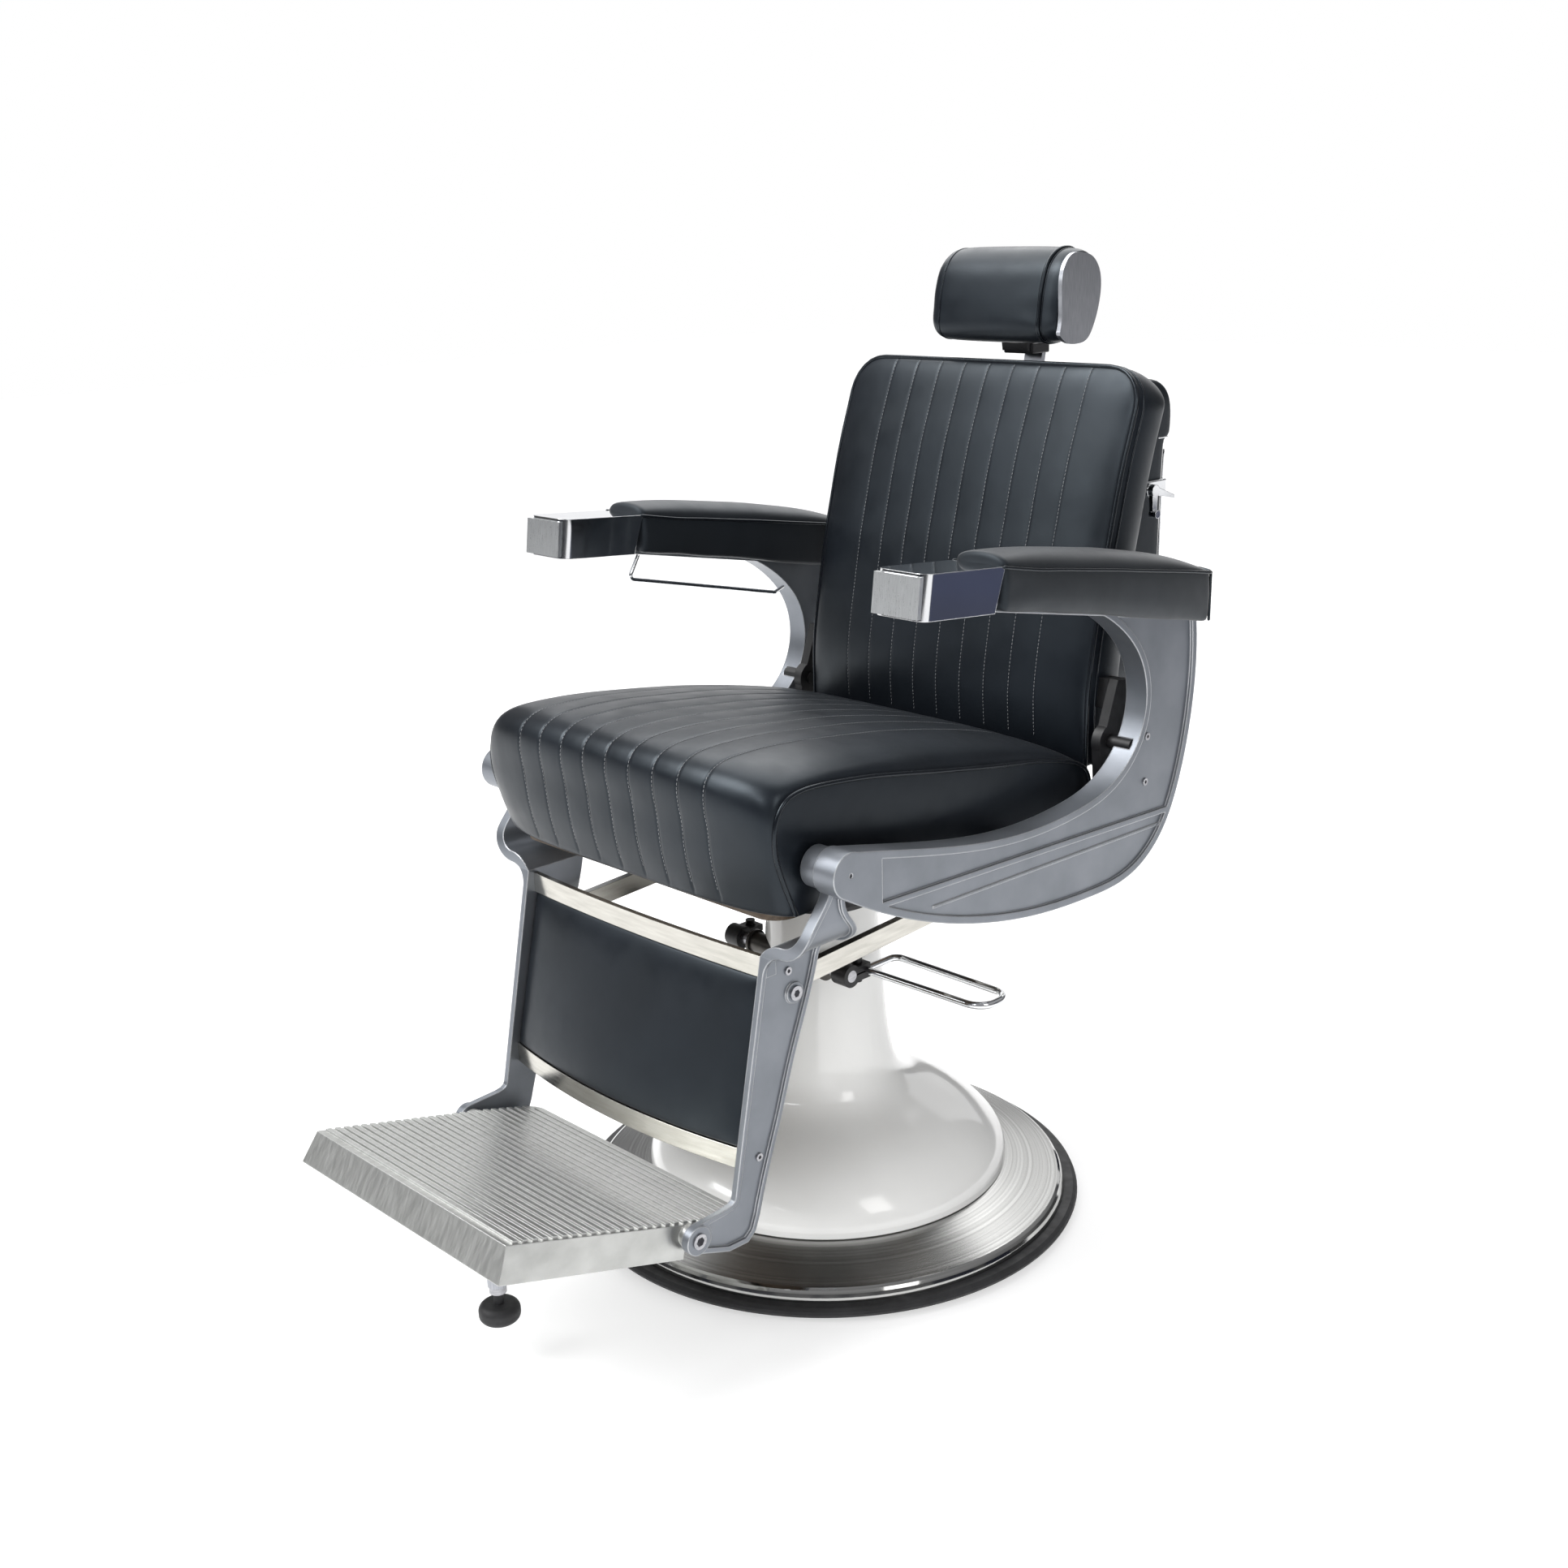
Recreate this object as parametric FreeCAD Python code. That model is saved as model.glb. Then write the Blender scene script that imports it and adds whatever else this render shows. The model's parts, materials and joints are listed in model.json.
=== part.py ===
"""Hydraulic barber chair, written as one STEP per sub-part.

Millimetres. The origin is on the floor at the base's centre, +Z is up, the chair faces -Y,
and the sitter's left is +X. Every sub-part is drawn where it sits at rest: seat down,
back upright, leg rest hanging.
"""
import FreeCAD
import Part
import math
import os
from FreeCAD import Vector

# ---- driving dimensions -------------------------------------------------------------
BASE_RADIUS = 343.0            # outer edge of the rubber floor ring, 27 inches across
RING_HEIGHT = 18.5
DISH_SHOULDER_RADIUS = 316.0
BELL_RADIUS = 244.5            # bottom edge of the bell cover
BELL_BOTTOM = 58.0
COLUMN_TOP = 432.0
COLUMN_TOP_RADIUS = 74.0
COVER_WALL = 3.0
RAM_RADIUS = 38.0
RUNNING = 0.05                 # radial clearance of a running fit

CASTING_IN = 289.0             # inner face of a side frame
CASTING_OUT = 321.0            # outer face of a side frame
ARM_IN = 273.0                 # inner side of an arm pad
ARM_OUT = 346.0                # outer side of an arm pad
LEG_PIVOT = (-277.0, 610.0)    # y, z of the leg rest's hinge
BACK_PIVOT = (252.0, 638.0)    # y, z of the back's hinge
LINK_DROP = (7.0, -168.0)      # from either hinge to the link's pin
FOOT_PIVOT = (-435.0, 193.0)   # y, z of the footplate's hinge
LEG_OUT = 223.0                # outer face of a leg arm
LEG_IN = 215.0                 # inner face of a leg arm
LINK_IN = 188.0
LINK_OUT = 198.0

SEAT_HALF_WIDTH = 257.0
SEAT_BOTTOM = 550.0
BACK_HALF_WIDTH = 245.0
FOOTPLATE_TILT = 16.5          # degrees, toes up
PUMP_SHAFT = (-61.0, 364.0)    # y, z of the pump lever's shaft
POST_LEAN = 12.0               # degrees that the headrest post leans back
POST_FOOT = (398.0, 900.0)     # y, z of the post's lower end
TILT_AXIS = (401.0, 1146.0)    # y, z of the headrest's tilt rod

X_AXIS = Vector(1, 0, 0)
Z_AXIS = Vector(0, 0, 1)


# ---- small helpers ------------------------------------------------------------------
def box(x0, x1, y0, y1, z0, z1):
    return Part.makeBox(x1 - x0, y1 - y0, z1 - z0, Vector(x0, y0, z0))


def cylinder_x(centre, radius, x0, x1):
    """A round bar along X about (y, z)."""
    return Part.makeCylinder(radius, x1 - x0, Vector(x0, centre[0], centre[1]), X_AXIS)


def cylinder_z(x, y, radius, z0, z1):
    return Part.makeCylinder(radius, z1 - z0, Vector(x, y, z0), Z_AXIS)


def tube_z(outer, inner, z0, z1):
    return cylinder_z(0, 0, outer, z0, z1).cut(cylinder_z(0, 0, inner, z0 - 1, z1 + 1))


def points_at(x, outline):
    return [Vector(x, y, z) for y, z in outline]


def smooth(points):
    """An edge that passes smoothly through the points."""
    curve = Part.BSplineCurve()
    curve.interpolate(points)
    return curve.toShape()


def slab(outline, x0, x1):
    """A straight-sided (y, z) outline, extruded from x0 to x1."""
    points = points_at(x0, outline)
    wire = Part.makePolygon(points + points[:1])
    return Part.Face(wire).extrude(Vector(x1 - x0, 0, 0))


def shifted(outline, distance):
    """An open (y, z) outline moved sideways: to its left, seen along its direction, if positive."""
    moved = []
    last = len(outline) - 1
    for index, (y, z) in enumerate(outline):
        before = outline[max(index - 1, 0)]
        after = outline[min(index + 1, last)]
        run = (after[0] - before[0], after[1] - before[1])
        length = math.hypot(*run)
        moved.append((y - run[1] / length * distance, z + run[0] / length * distance))
    return moved


def inset(outline, margin):
    """A closed (y, z) outline with each side moved inwards; its points run clockwise or not alike."""
    area = 0.0
    count = len(outline)
    for index in range(count):
        y0, z0 = outline[index]
        y1, z1 = outline[(index + 1) % count]
        area += y0 * z1 - y1 * z0
    turn = math.copysign(1.0, area)
    inner = []
    for index in range(count):
        corner = Vector(0, *outline[index])
        to_here = (corner - Vector(0, *outline[index - 1])).normalize()
        onward = (Vector(0, *outline[(index + 1) % count]) - corner).normalize()
        normal_in = Vector(0, -to_here.z, to_here.y) * turn
        normal_out = Vector(0, -onward.z, onward.y) * turn
        bisector = normal_in + normal_out
        corner = corner + bisector * (margin / (1 + normal_in.dot(normal_out)))
        inner.append((corner.y, corner.z))
    return inner


def curved_slab(edges, x0, x1):
    face = Part.Face(Part.Wire(edges))
    return face.extrude(Vector(x1 - x0, 0, 0))


def turned(profile):
    """A closed (radius, z) outline, turned about Z."""
    points = [Vector(r, 0, z) for r, z in profile]
    face = Part.Face(Part.makePolygon(points + points[:1]))
    return face.revolve(Vector(0, 0, 0), Z_AXIS, 360)


def mirrored(shape):
    return shape.mirror(Vector(0, 0, 0), X_AXIS)


def both_sides(shape):
    """The shape and its mirror image, kept as separate solids."""
    return Part.makeCompound([shape, mirrored(shape)])


def edges_along(shape, direction):
    """The straight edges that run along a direction."""
    found = []
    for edge in shape.Edges:
        if edge.Curve.TypeId == "Part::GeomLine":
            if abs(abs(edge.Curve.Direction.dot(direction)) - 1) < 0.001:
                found.append(edge)
    return found


def rounded_box(x0, x1, y0, y1, z0, z1, radius):
    """A box with every edge rounded."""
    shape = box(x0, x1, y0, y1, z0, z1)
    return shape.makeFillet(radius, shape.Edges)


def rod_through(points, radius, bends):
    """A round rod with straight runs and a round bend, of the radius given, at each inner point."""
    solids = []
    start = points[0]
    for before, corner, after, bend in zip(points, points[1:], points[2:], bends):
        inward = (corner - before).normalize()
        outward = (after - corner).normalize()
        turn = inward.getAngle(outward)
        trim = bend * math.tan(turn / 2)
        arc_start = corner - inward * trim
        arc_end = corner + outward * trim
        inner = (outward - inward).normalize()
        centre = corner + inner * (bend / math.cos(turn / 2))
        middle = centre - inner * bend
        solids.append(Part.LineSegment(start, arc_start).toShape())
        solids.append(Part.Arc(arc_start, middle, arc_end).toShape())
        start = arc_end
    solids.append(Part.LineSegment(start, points[-1]).toShape())
    path = Part.Wire(solids)
    direction = (points[1] - points[0]).normalize()
    circle = Part.Wire(Part.makeCircle(radius, points[0], direction))
    return path.makePipeShell([circle], True, True)


def hex_head(centre, across_flats, x0, x1):
    corner = across_flats / math.sqrt(3)
    outline = []
    for step in range(6):
        angle = math.radians(60 * step)
        outline.append((centre[0] + corner * math.cos(angle), centre[1] + corner * math.sin(angle)))
    return slab(outline, x0, x1)


def socket_screw(centre, head_radius, x0, x1, shank_radius, shank_depth):
    """A button-head screw on a face that looks along +X, with a hexagon socket."""
    screw = cylinder_x(centre, head_radius, x0, x1)
    screw = screw.fuse(cylinder_x(centre, shank_radius, x0 - shank_depth, x0 + 0.5))
    return screw.cut(hex_head(centre, head_radius * 0.8, x1 - 4, x1 + 1)).removeSplitter()


def save(name, shape):
    shape.exportStep("parts/" + name + ".step")
    print(name, "solids", len(shape.Solids), "valid", shape.isValid(), "volume", round(shape.Volume))


# ---- base ---------------------------------------------------------------------------
PLATE_RADIUS = 300.0
PLATE_BOTTOM = 0.0
PLATE_TOP = 12.0
CYLINDER_RADIUS = 46.0
CYLINDER_TOP = 410.0
RESERVOIR_RADIUS = 58.0
RESERVOIR_TOP = 190.0
FLANGE_RADIUS = 95.0
FLANGE_TOP = 32.0
BOLT_CIRCLE = 80.0
BUSH_RADIUS = 14.0
BUSH_IN = 24.2
SCREW_HEIGHT = 405.0


def make_floor_ring():
    """A rubber ring with a rounded outer side, gripping the dish's edge from below and outside."""
    profile = [(BASE_RADIUS - 30, 0), (BASE_RADIUS - 21, 0), (BASE_RADIUS - 9, 3.5), (BASE_RADIUS - 1.5, 8),
               (BASE_RADIUS, 12), (BASE_RADIUS - 1.5, 15.5), (BASE_RADIUS - 6, RING_HEIGHT),
               (BASE_RADIUS - 18, RING_HEIGHT), (BASE_RADIUS - 18, 5), (BASE_RADIUS - 30, 5)]
    return turned(profile)


def make_base_dish():
    """A pressed disc: a shallow cone inside, a rolled shoulder outside."""
    wall = 2.5
    rim = BASE_RADIUS - 18.2
    outer = [(rim, 6), (rim, 20), (rim - 0.8, 24.5), (rim - 2.6, 28.5), (rim - 5.2, 32), (DISH_SHOULDER_RADIUS, 34.5)]
    cone_inner = (BELL_RADIUS - 30, BELL_BOTTOM + 7.2)
    inner = [(r - wall * 0.6, z - wall) for r, z in reversed(outer[1:])]
    profile = outer + [cone_inner, (cone_inner[0], cone_inner[1] - wall)] + inner + [(rim - wall, 6)]
    return turned(profile)


BELL_OUTLINE = [(BELL_RADIUS, BELL_BOTTOM), (BELL_RADIUS, 66.0), (241.0, 80.0), (226.0, 101.0), (197.0, 127.0),
                (158.0, 149.0), (124.0, 165.0), (103.0, 184.0), (92.0, 212.0), (86.0, 250.0),
                (82.0, 300.0), (77.5, 370.0), (COLUMN_TOP_RADIUS, COLUMN_TOP)]


def make_bell_cover():
    """The white cover: a bell that runs up into the tall column, open below and above."""
    outside = smooth([Vector(r, 0, z) for r, z in BELL_OUTLINE[1:]])
    inside = smooth([Vector(r - COVER_WALL, 0, z) for r, z in BELL_OUTLINE[1:]])
    skirt_out = Part.makeLine(Vector(BELL_RADIUS, 0, BELL_BOTTOM), Vector(BELL_RADIUS, 0, 66))
    skirt_in = Part.makeLine(Vector(BELL_RADIUS - COVER_WALL, 0, BELL_BOTTOM), Vector(BELL_RADIUS - COVER_WALL, 0, 66))
    bottom = Part.makeLine(Vector(BELL_RADIUS, 0, BELL_BOTTOM), Vector(BELL_RADIUS - COVER_WALL, 0, BELL_BOTTOM))
    top_in = Vector(COLUMN_TOP_RADIUS - COVER_WALL, 0, COLUMN_TOP)
    top = Part.makeLine(Vector(COLUMN_TOP_RADIUS, 0, COLUMN_TOP), top_in)
    wire = Part.Wire(Part.__sortEdges__([outside, top, inside, skirt_in, bottom, skirt_out]))
    shell = Part.Face(wire).revolve(Vector(0, 0, 0), Z_AXIS, 360)
    opening = cylinder_x(PUMP_SHAFT, BUSH_RADIUS + 0.2, BUSH_IN - 0.2, 100)
    shell = shell.cut(opening).cut(mirrored(opening))
    return shell.cut(round_the_column(cylinder_x((0, SCREW_HEIGHT), 4.1, 60, 100)))


def round_the_column(shape):
    """Turns a shape from the +X side of the column to the side that faces the footrest's left."""
    shape.rotate(Vector(0, 0, 0), Z_AXIS, -54)
    return shape


def make_base_plate():
    plate = cylinder_z(0, 0, PLATE_RADIUS, PLATE_BOTTOM, PLATE_TOP)
    for x, y in bolt_places():
        plate = plate.cut(cylinder_z(x, y, 6.2, PLATE_BOTTOM - 1, PLATE_TOP + 1))
    return plate


def bolt_places():
    places = []
    for step in range(4):
        angle = math.radians(45 + 90 * step)
        places.append((BOLT_CIRCLE * math.cos(angle), BOLT_CIRCLE * math.sin(angle)))
    return places


def make_cylinder():
    """The hydraulic cylinder with its foot flange, closed below."""
    body = cylinder_z(0, 0, CYLINDER_RADIUS, PLATE_TOP, CYLINDER_TOP)
    body = body.fuse(cylinder_z(0, 0, FLANGE_RADIUS, PLATE_TOP, FLANGE_TOP))
    body = body.cut(cylinder_z(0, 0, RAM_RADIUS + RUNNING, FLANGE_TOP + 8, CYLINDER_TOP + 1))
    for x, y in bolt_places():
        body = body.cut(cylinder_z(x, y, 6.2, PLATE_TOP - 1, FLANGE_TOP + 1))
    return body.removeSplitter()


def make_cylinder_bolts():
    bolts = []
    for x, y in bolt_places():
        shank = cylinder_z(x, y, 6.0, PLATE_BOTTOM, FLANGE_TOP)
        head = cylinder_z(x, y, 10.0, FLANGE_TOP, FLANGE_TOP + 8)
        bolts.append(shank.fuse(head).removeSplitter())
    return Part.makeCompound(bolts)


def make_reservoir():
    return tube_z(RESERVOIR_RADIUS, CYLINDER_RADIUS + 0.3, FLANGE_TOP + 10, RESERVOIR_TOP)


def make_pump_block():
    """The pump's bearing block, clamped round the cylinder behind the shaft."""
    y, z = PUMP_SHAFT
    block = box(-24, 24, y - 8.6, y + 20, z - 60, z + 14)
    block = block.cut(cylinder_z(0, 0, CYLINDER_RADIUS + 0.3, z - 70, z + 30))
    return block.cut(cylinder_x(PUMP_SHAFT, 8 + RUNNING, -40, 40))


def make_shaft_bushes():
    bush = cylinder_x(PUMP_SHAFT, BUSH_RADIUS, BUSH_IN, 66).fuse(cylinder_x(PUMP_SHAFT, 17, 65, 69))
    bush = bush.cut(cylinder_x(PUMP_SHAFT, 8 + RUNNING, BUSH_IN - 1, 70)).removeSplitter()
    return both_sides(bush)


def make_gland_ring():
    """The ring that closes the column's top round the ram."""
    ring = tube_z(COLUMN_TOP_RADIUS + 1.5, RAM_RADIUS + RUNNING, COLUMN_TOP, COLUMN_TOP + 6)
    return ring.fuse(tube_z(COLUMN_TOP_RADIUS - COVER_WALL - 1, RAM_RADIUS + RUNNING, COLUMN_TOP - 12,
                            COLUMN_TOP)).removeSplitter()


def make_column_screw():
    screw = socket_screw((0, SCREW_HEIGHT), 6.0, 75.9, 79.0, 4.0, 10)
    return round_the_column(screw)


# ---- pump lever ---------------------------------------------------------------------
CLAMP_IN = 88.0
CLAMP_OUT = 112.0
LEVER_ROD_RADIUS = 4.8


def make_pump_shaft():
    return cylinder_x(PUMP_SHAFT, 8.0, -CLAMP_OUT, CLAMP_OUT)


def clamp_at(x0, x1):
    """A split clamp that grips the shaft, with an ear towards the back."""
    y, z = PUMP_SHAFT
    body = cylinder_x(PUMP_SHAFT, 15, x0, x1)
    body = body.fuse(box(x0, x1, y, y + 34, z - 10, z + 10))
    body = body.cut(cylinder_x(PUMP_SHAFT, 8.0, x0 - 1, x1 + 1))
    body = body.cut(box(x0 - 1, x1 + 1, y + 7, y + 35, z - 1, z + 1))
    return body.removeSplitter()


def make_lever_clamps():
    y, z = PUMP_SHAFT
    clamps = []
    for x0, x1 in ((CLAMP_IN, CLAMP_OUT), (-CLAMP_OUT, -CLAMP_IN)):
        clamp = clamp_at(x0, x1)
        middle = (x0 + x1) / 2
        clamps.append(clamp.cut(cylinder_z(middle, y + 22, 3.6, z - 20, z + 20)))
    return Part.makeCompound(clamps)


def make_clamp_screws():
    y, z = PUMP_SHAFT
    screws = []
    for middle in ((CLAMP_IN + CLAMP_OUT) / 2, -(CLAMP_IN + CLAMP_OUT) / 2):
        shank = cylinder_z(middle, y + 22, 3.5, z - 16, z + 10)
        head = cylinder_z(middle, y + 22, 6.5, z + 10, z + 17)
        nut = cylinder_z(middle, y + 22, 6.0, z - 16, z - 10)
        screws.append(shank.fuse(head).fuse(nut).removeSplitter())
    return Part.makeCompound(screws)


def make_lever_rod():
    """The bent hairpin that the barber steps on."""
    y, z = PUMP_SHAFT
    ear_rear = y + 34
    inner_leg = ear_rear + 54
    far_x = 298
    near_x = 107
    points = [Vector(CLAMP_OUT + 0.3, ear_rear - 6, z), Vector(far_x, ear_rear, z), Vector(far_x, inner_leg, z),
              Vector(near_x, inner_leg, z), Vector(near_x, ear_rear + 0.1, z)]
    return rod_through(points, LEVER_ROD_RADIUS, (24, 24, 14))


# ---- lift ---------------------------------------------------------------------------
RAM_BOTTOM = 60.0
RAM_TOP = 462.0
HEAD_RADIUS = 62.0
HEAD_TOP = 474.0
SPIGOT_RADIUS = 24.0
SPIGOT_TOP = 522.0


def make_ram():
    return cylinder_z(0, 0, RAM_RADIUS, RAM_BOTTOM, RAM_TOP)


def make_ram_seal():
    return cylinder_z(0, 0, RAM_RADIUS - 2, RAM_BOTTOM - 8, RAM_BOTTOM)


def make_ram_head():
    """The flange on the ram with the spigot that the seat turns on."""
    head = cylinder_z(0, 0, HEAD_RADIUS, RAM_TOP, HEAD_TOP)
    return head.fuse(cylinder_z(0, 0, SPIGOT_RADIUS, HEAD_TOP, SPIGOT_TOP)).removeSplitter()


# ---- turning seat frame -------------------------------------------------------------
HUB_BOTTOM = HEAD_TOP + 3.2
HUB_TOP = 527.0
BEAM_BOTTOM = 527.0
BEAM_TOP = 541.0
BEAMS = ((-105.0, -65.0), (65.0, 105.0))


def make_thrust_washer():
    return tube_z(HEAD_RADIUS, SPIGOT_RADIUS + 0.3, HEAD_TOP + 0.1, HUB_BOTTOM)


def make_seat_hub():
    """A bored boss on a square plate, under the two cross beams."""
    hub = cylinder_z(0, 0, 56, HUB_BOTTOM, HUB_TOP)
    hub = hub.fuse(box(-110, 110, -120, 120, HUB_TOP - 10, HUB_TOP))
    return hub.cut(cylinder_z(0, 0, SPIGOT_RADIUS + RUNNING, HUB_BOTTOM - 1, HUB_TOP + 1)).removeSplitter()


def make_cross_beams():
    beams = []
    for y0, y1 in BEAMS:
        beams.append(box(-CASTING_IN, CASTING_IN, y0, y1, BEAM_BOTTOM, BEAM_TOP))
    return Part.makeCompound(beams)


def make_seat_board():
    board = box(-236, 236, -310, 200, BEAM_TOP, SEAT_BOTTOM - 0.2)
    return board.makeFillet(30, edges_along(board, Z_AXIS))


def make_seat_cushion():
    """Plain stand-in of the cushion: high at the front, sloping down to the back."""
    outline = [(-330, SEAT_BOTTOM), (-350, 585), (-354, 640), (-350, 690), (-325, 714), (-270, 718),
               (-160, 706), (0, 682), (130, 652), (195, 626), (218, 596), (224, SEAT_BOTTOM)]
    cushion = slab(outline, -SEAT_HALF_WIDTH, SEAT_HALF_WIDTH)
    return cushion


ARM_SLOPE = 0.189              # the arm's underside falls this much per unit of y
ARM_UNDER = 864.0              # height of the arm's underside at ARM_UNDER_Y
ARM_UNDER_Y = -56.0
ARM_BAR = 20.0                 # depth of the casting's bar inside the pad


def arm_underside(y):
    return ARM_UNDER - ARM_SLOPE * (y - ARM_UNDER_Y)


KNUCKLE_RADIUS = 27.0
CASTING_BELLY = [(-292, 588), (-196, 538), (-85, 498), (44, 471), (160, 463), (252, 473), (306, 508),
                 (345, 575), (368, 660), (375, 730), (371, 790)]
CASTING_INSIDE = [(160, 827), (222, 788), (258, 742), (267, 695), (250, 645), (205, 606), (120, 585),
                  (10, 583), (-120, 602), (-277, 637)]


def casting_plan(x, margin):
    """The closed outline of the C-shaped plate as edges at x, moved inwards by a margin."""
    belly_points = shifted(CASTING_BELLY, margin)
    inside_points = shifted(CASTING_INSIDE, margin)
    belly = smooth(points_at(x, belly_points))
    inside = smooth(points_at(x, inside_points))
    top = Part.makeLine(Vector(x, *belly_points[-1]), Vector(x, *inside_points[0]))
    nose = Part.makeLine(Vector(x, *inside_points[-1]), Vector(x, *belly_points[0]))
    return [belly, top, inside, nose]


RIM = 9.0
POCKET = 4.0
POCKET_FRONT = -227.0
RIDGE = [(-262, 566), (-262, 560), (360, 534), (360, 541)]
STRIPE = [(-139, 535), (-139, 532), (345, 519.5), (345, 523)]


def make_side_casting():
    """The near side frame: knuckle, belly, C-shaped upright and arm bar, with a sunk outer panel."""
    plate = curved_slab(casting_plan(CASTING_IN, 0.0), CASTING_IN, CASTING_OUT)
    sunk = curved_slab(casting_plan(CASTING_OUT - POCKET, RIM), CASTING_OUT - POCKET, CASTING_OUT + 1)
    sunk = sunk.cut(slab(RIDGE, CASTING_OUT - POCKET - 1, CASTING_OUT + 2))
    sunk = sunk.cut(slab(STRIPE, CASTING_OUT - POCKET - 1, CASTING_OUT - POCKET + 1.5))
    sunk = sunk.cut(box(CASTING_IN, CASTING_OUT + 2, -400, POCKET_FRONT, 400, 800))
    plate = plate.cut(sunk)
    plate = plate.fuse(cylinder_x(LEG_PIVOT, KNUCKLE_RADIUS, CASTING_IN, CASTING_OUT))
    front, rear = -172.0, 362.0
    bar = [(front, arm_underside(front)), (rear, arm_underside(rear)),
           (rear, arm_underside(rear) + ARM_BAR), (front, arm_underside(front) + ARM_BAR)]
    plate = plate.fuse(slab(bar, CASTING_IN, CASTING_OUT))
    plate = plate.cut(cylinder_x(LEG_PIVOT, 9.0, CASTING_IN - 1, CASTING_OUT - 8))
    plate = plate.cut(cylinder_x(LEG_PIVOT, 2.5, CASTING_OUT - 4, CASTING_OUT + 1))
    plate = plate.cut(cylinder_x(BACK_PIVOT, 9.0, CASTING_IN - 1, CASTING_OUT - 8))
    for place in CASTING_SCREWS:
        plate = plate.cut(cylinder_x(place, 3.6, CASTING_OUT - 20, CASTING_OUT + 1))
    return plate.removeSplitter()


CASTING_SCREWS = ((275.0, 647.0), (273.0, 587.0))


def make_casting_screws():
    screws = []
    for place in CASTING_SCREWS:
        screw = socket_screw(place, 5.0, CASTING_OUT - POCKET, CASTING_OUT - POCKET + 1.8, 3.5, 14)
        screws.extend([screw, mirrored(screw)])
    return Part.makeCompound(screws)


ARM_FRONT_Y = -181.0
CAP_REAR_TOP = (-48.0, 917.0)
CAP_REAR_LOW = (-66.0, 866.5)
FACE_THICKNESS = 5.0


def arm_bar_room(side):
    """The space that the casting's arm bar needs, a little larger than the bar."""
    gap = 0.2
    front, rear = -173.0, 364.0
    low = -30.0
    outline = [(front, arm_underside(front) + low), (rear, arm_underside(rear) + low),
               (rear, arm_underside(rear) + ARM_BAR + gap), (front, arm_underside(front) + ARM_BAR + gap)]
    room = slab(outline, CASTING_IN - gap, CASTING_OUT + gap)
    return room if side > 0 else mirrored(room)


def make_arm_cap():
    """The chromed front block of the near arm, with rounded upright edges."""
    outline = [(ARM_FRONT_Y, 928), CAP_REAR_TOP, CAP_REAR_LOW, (ARM_FRONT_Y - 6, 877)]
    cap = slab(outline, ARM_IN, ARM_OUT)
    corners = [e for e in cap.Edges if e.Length > 45 and e.CenterOfMass.y < ARM_FRONT_Y + 10
               and abs(e.tangentAt(e.FirstParameter).x) < 0.1]
    cap = cap.makeFillet(14, corners)
    return cap.cut(arm_bar_room(1))


def make_arm_faces():
    """Satin plates on the arms' front ends."""
    margin = 3.0
    outline = [(ARM_FRONT_Y - FACE_THICKNESS, 925), (ARM_FRONT_Y - 0.5, 925), (ARM_FRONT_Y - 5.9, 880),
               (ARM_FRONT_Y - 5.9 - FACE_THICKNESS, 880)]
    return both_sides(slab(outline, ARM_IN + margin, ARM_OUT - margin))


PAD_TOP = [(-46, 921), (-20, 930), (40, 928), (120, 916), (210, 901), (300, 880), (352, 858), (364, 848)]
PAD_LOW = [(362, 785.5), (267, 804), (163, 825), (60, 845), (-30, 860), (-65, 867.5)]


def make_arm_pad():
    pad = slab(PAD_TOP + PAD_LOW, ARM_IN, ARM_OUT)
    return pad.cut(arm_bar_room(1))


def make_towel_bar():
    """A bent wire under the far arm, its ends pushed up into the arm."""
    x = -285.0
    wall = -CASTING_IN
    points = [Vector(x, -50, 862), Vector(x, -68, 832), Vector(x, 203, 771), Vector(wall - 2, 226, 775)]
    return rod_through(points, 2.6, (6, 6))


def make_pivot_pins(centre, length_in):
    pin = cylinder_x(centre, 9.0 - RUNNING, length_in, CASTING_OUT - 9)
    return both_sides(pin)


# ---- reclining back -----------------------------------------------------------------
BACK_FRONT = [(241, 598), (242, 700), (256, 780), (273, 860), (297, 944), (322, 1020), (348, 1096)]
BACK_REAR = [(307, 604), (308, 706), (322, 786), (339, 866), (363, 950), (388, 1026), (408, 1081)]
LEVER_IN = 263.0
LEVER_OUT = 277.0
LINK_ROD_RADIUS = 8.0


def link_pin(hinge):
    return (hinge[0] + LINK_DROP[0], hinge[1] + LINK_DROP[1])


def make_back_cushion():
    """Plain stand-in of the padded front of the back, following its forward curve."""
    front = smooth(points_at(-BACK_HALF_WIDTH, BACK_FRONT))
    rear = smooth(points_at(-BACK_HALF_WIDTH, BACK_REAR))
    low = Part.makeLine(Vector(-BACK_HALF_WIDTH, *BACK_FRONT[0]), Vector(-BACK_HALF_WIDTH, *BACK_REAR[0]))
    high = Part.makeLine(Vector(-BACK_HALF_WIDTH, *BACK_FRONT[-1]), Vector(-BACK_HALF_WIDTH, *BACK_REAR[-1]))
    return curved_slab([front, high, rear, low], -BACK_HALF_WIDTH, BACK_HALF_WIDTH)


SHELL_HALF_WIDTH = 215.0
SHELL_REAR = [(440, 640), (441, 860), (447, 1000), (460, 1004), (462, 1050), (448, 1077), (415, 1088)]


def post_at(z):
    """The y of the headrest post's centre line at a height."""
    return POST_FOOT[0] + (z - POST_FOOT[1]) * math.tan(math.radians(POST_LEAN))


def leaning(x0, x1, depth, z0, z1):
    """A flat bar, centred on the headrest post's line."""
    half = depth / 2
    outline = [(post_at(z0) - half, z0), (post_at(z1) - half, z1), (post_at(z1) + half, z1), (post_at(z0) + half, z0)]
    return slab(outline, x0, x1)


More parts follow.
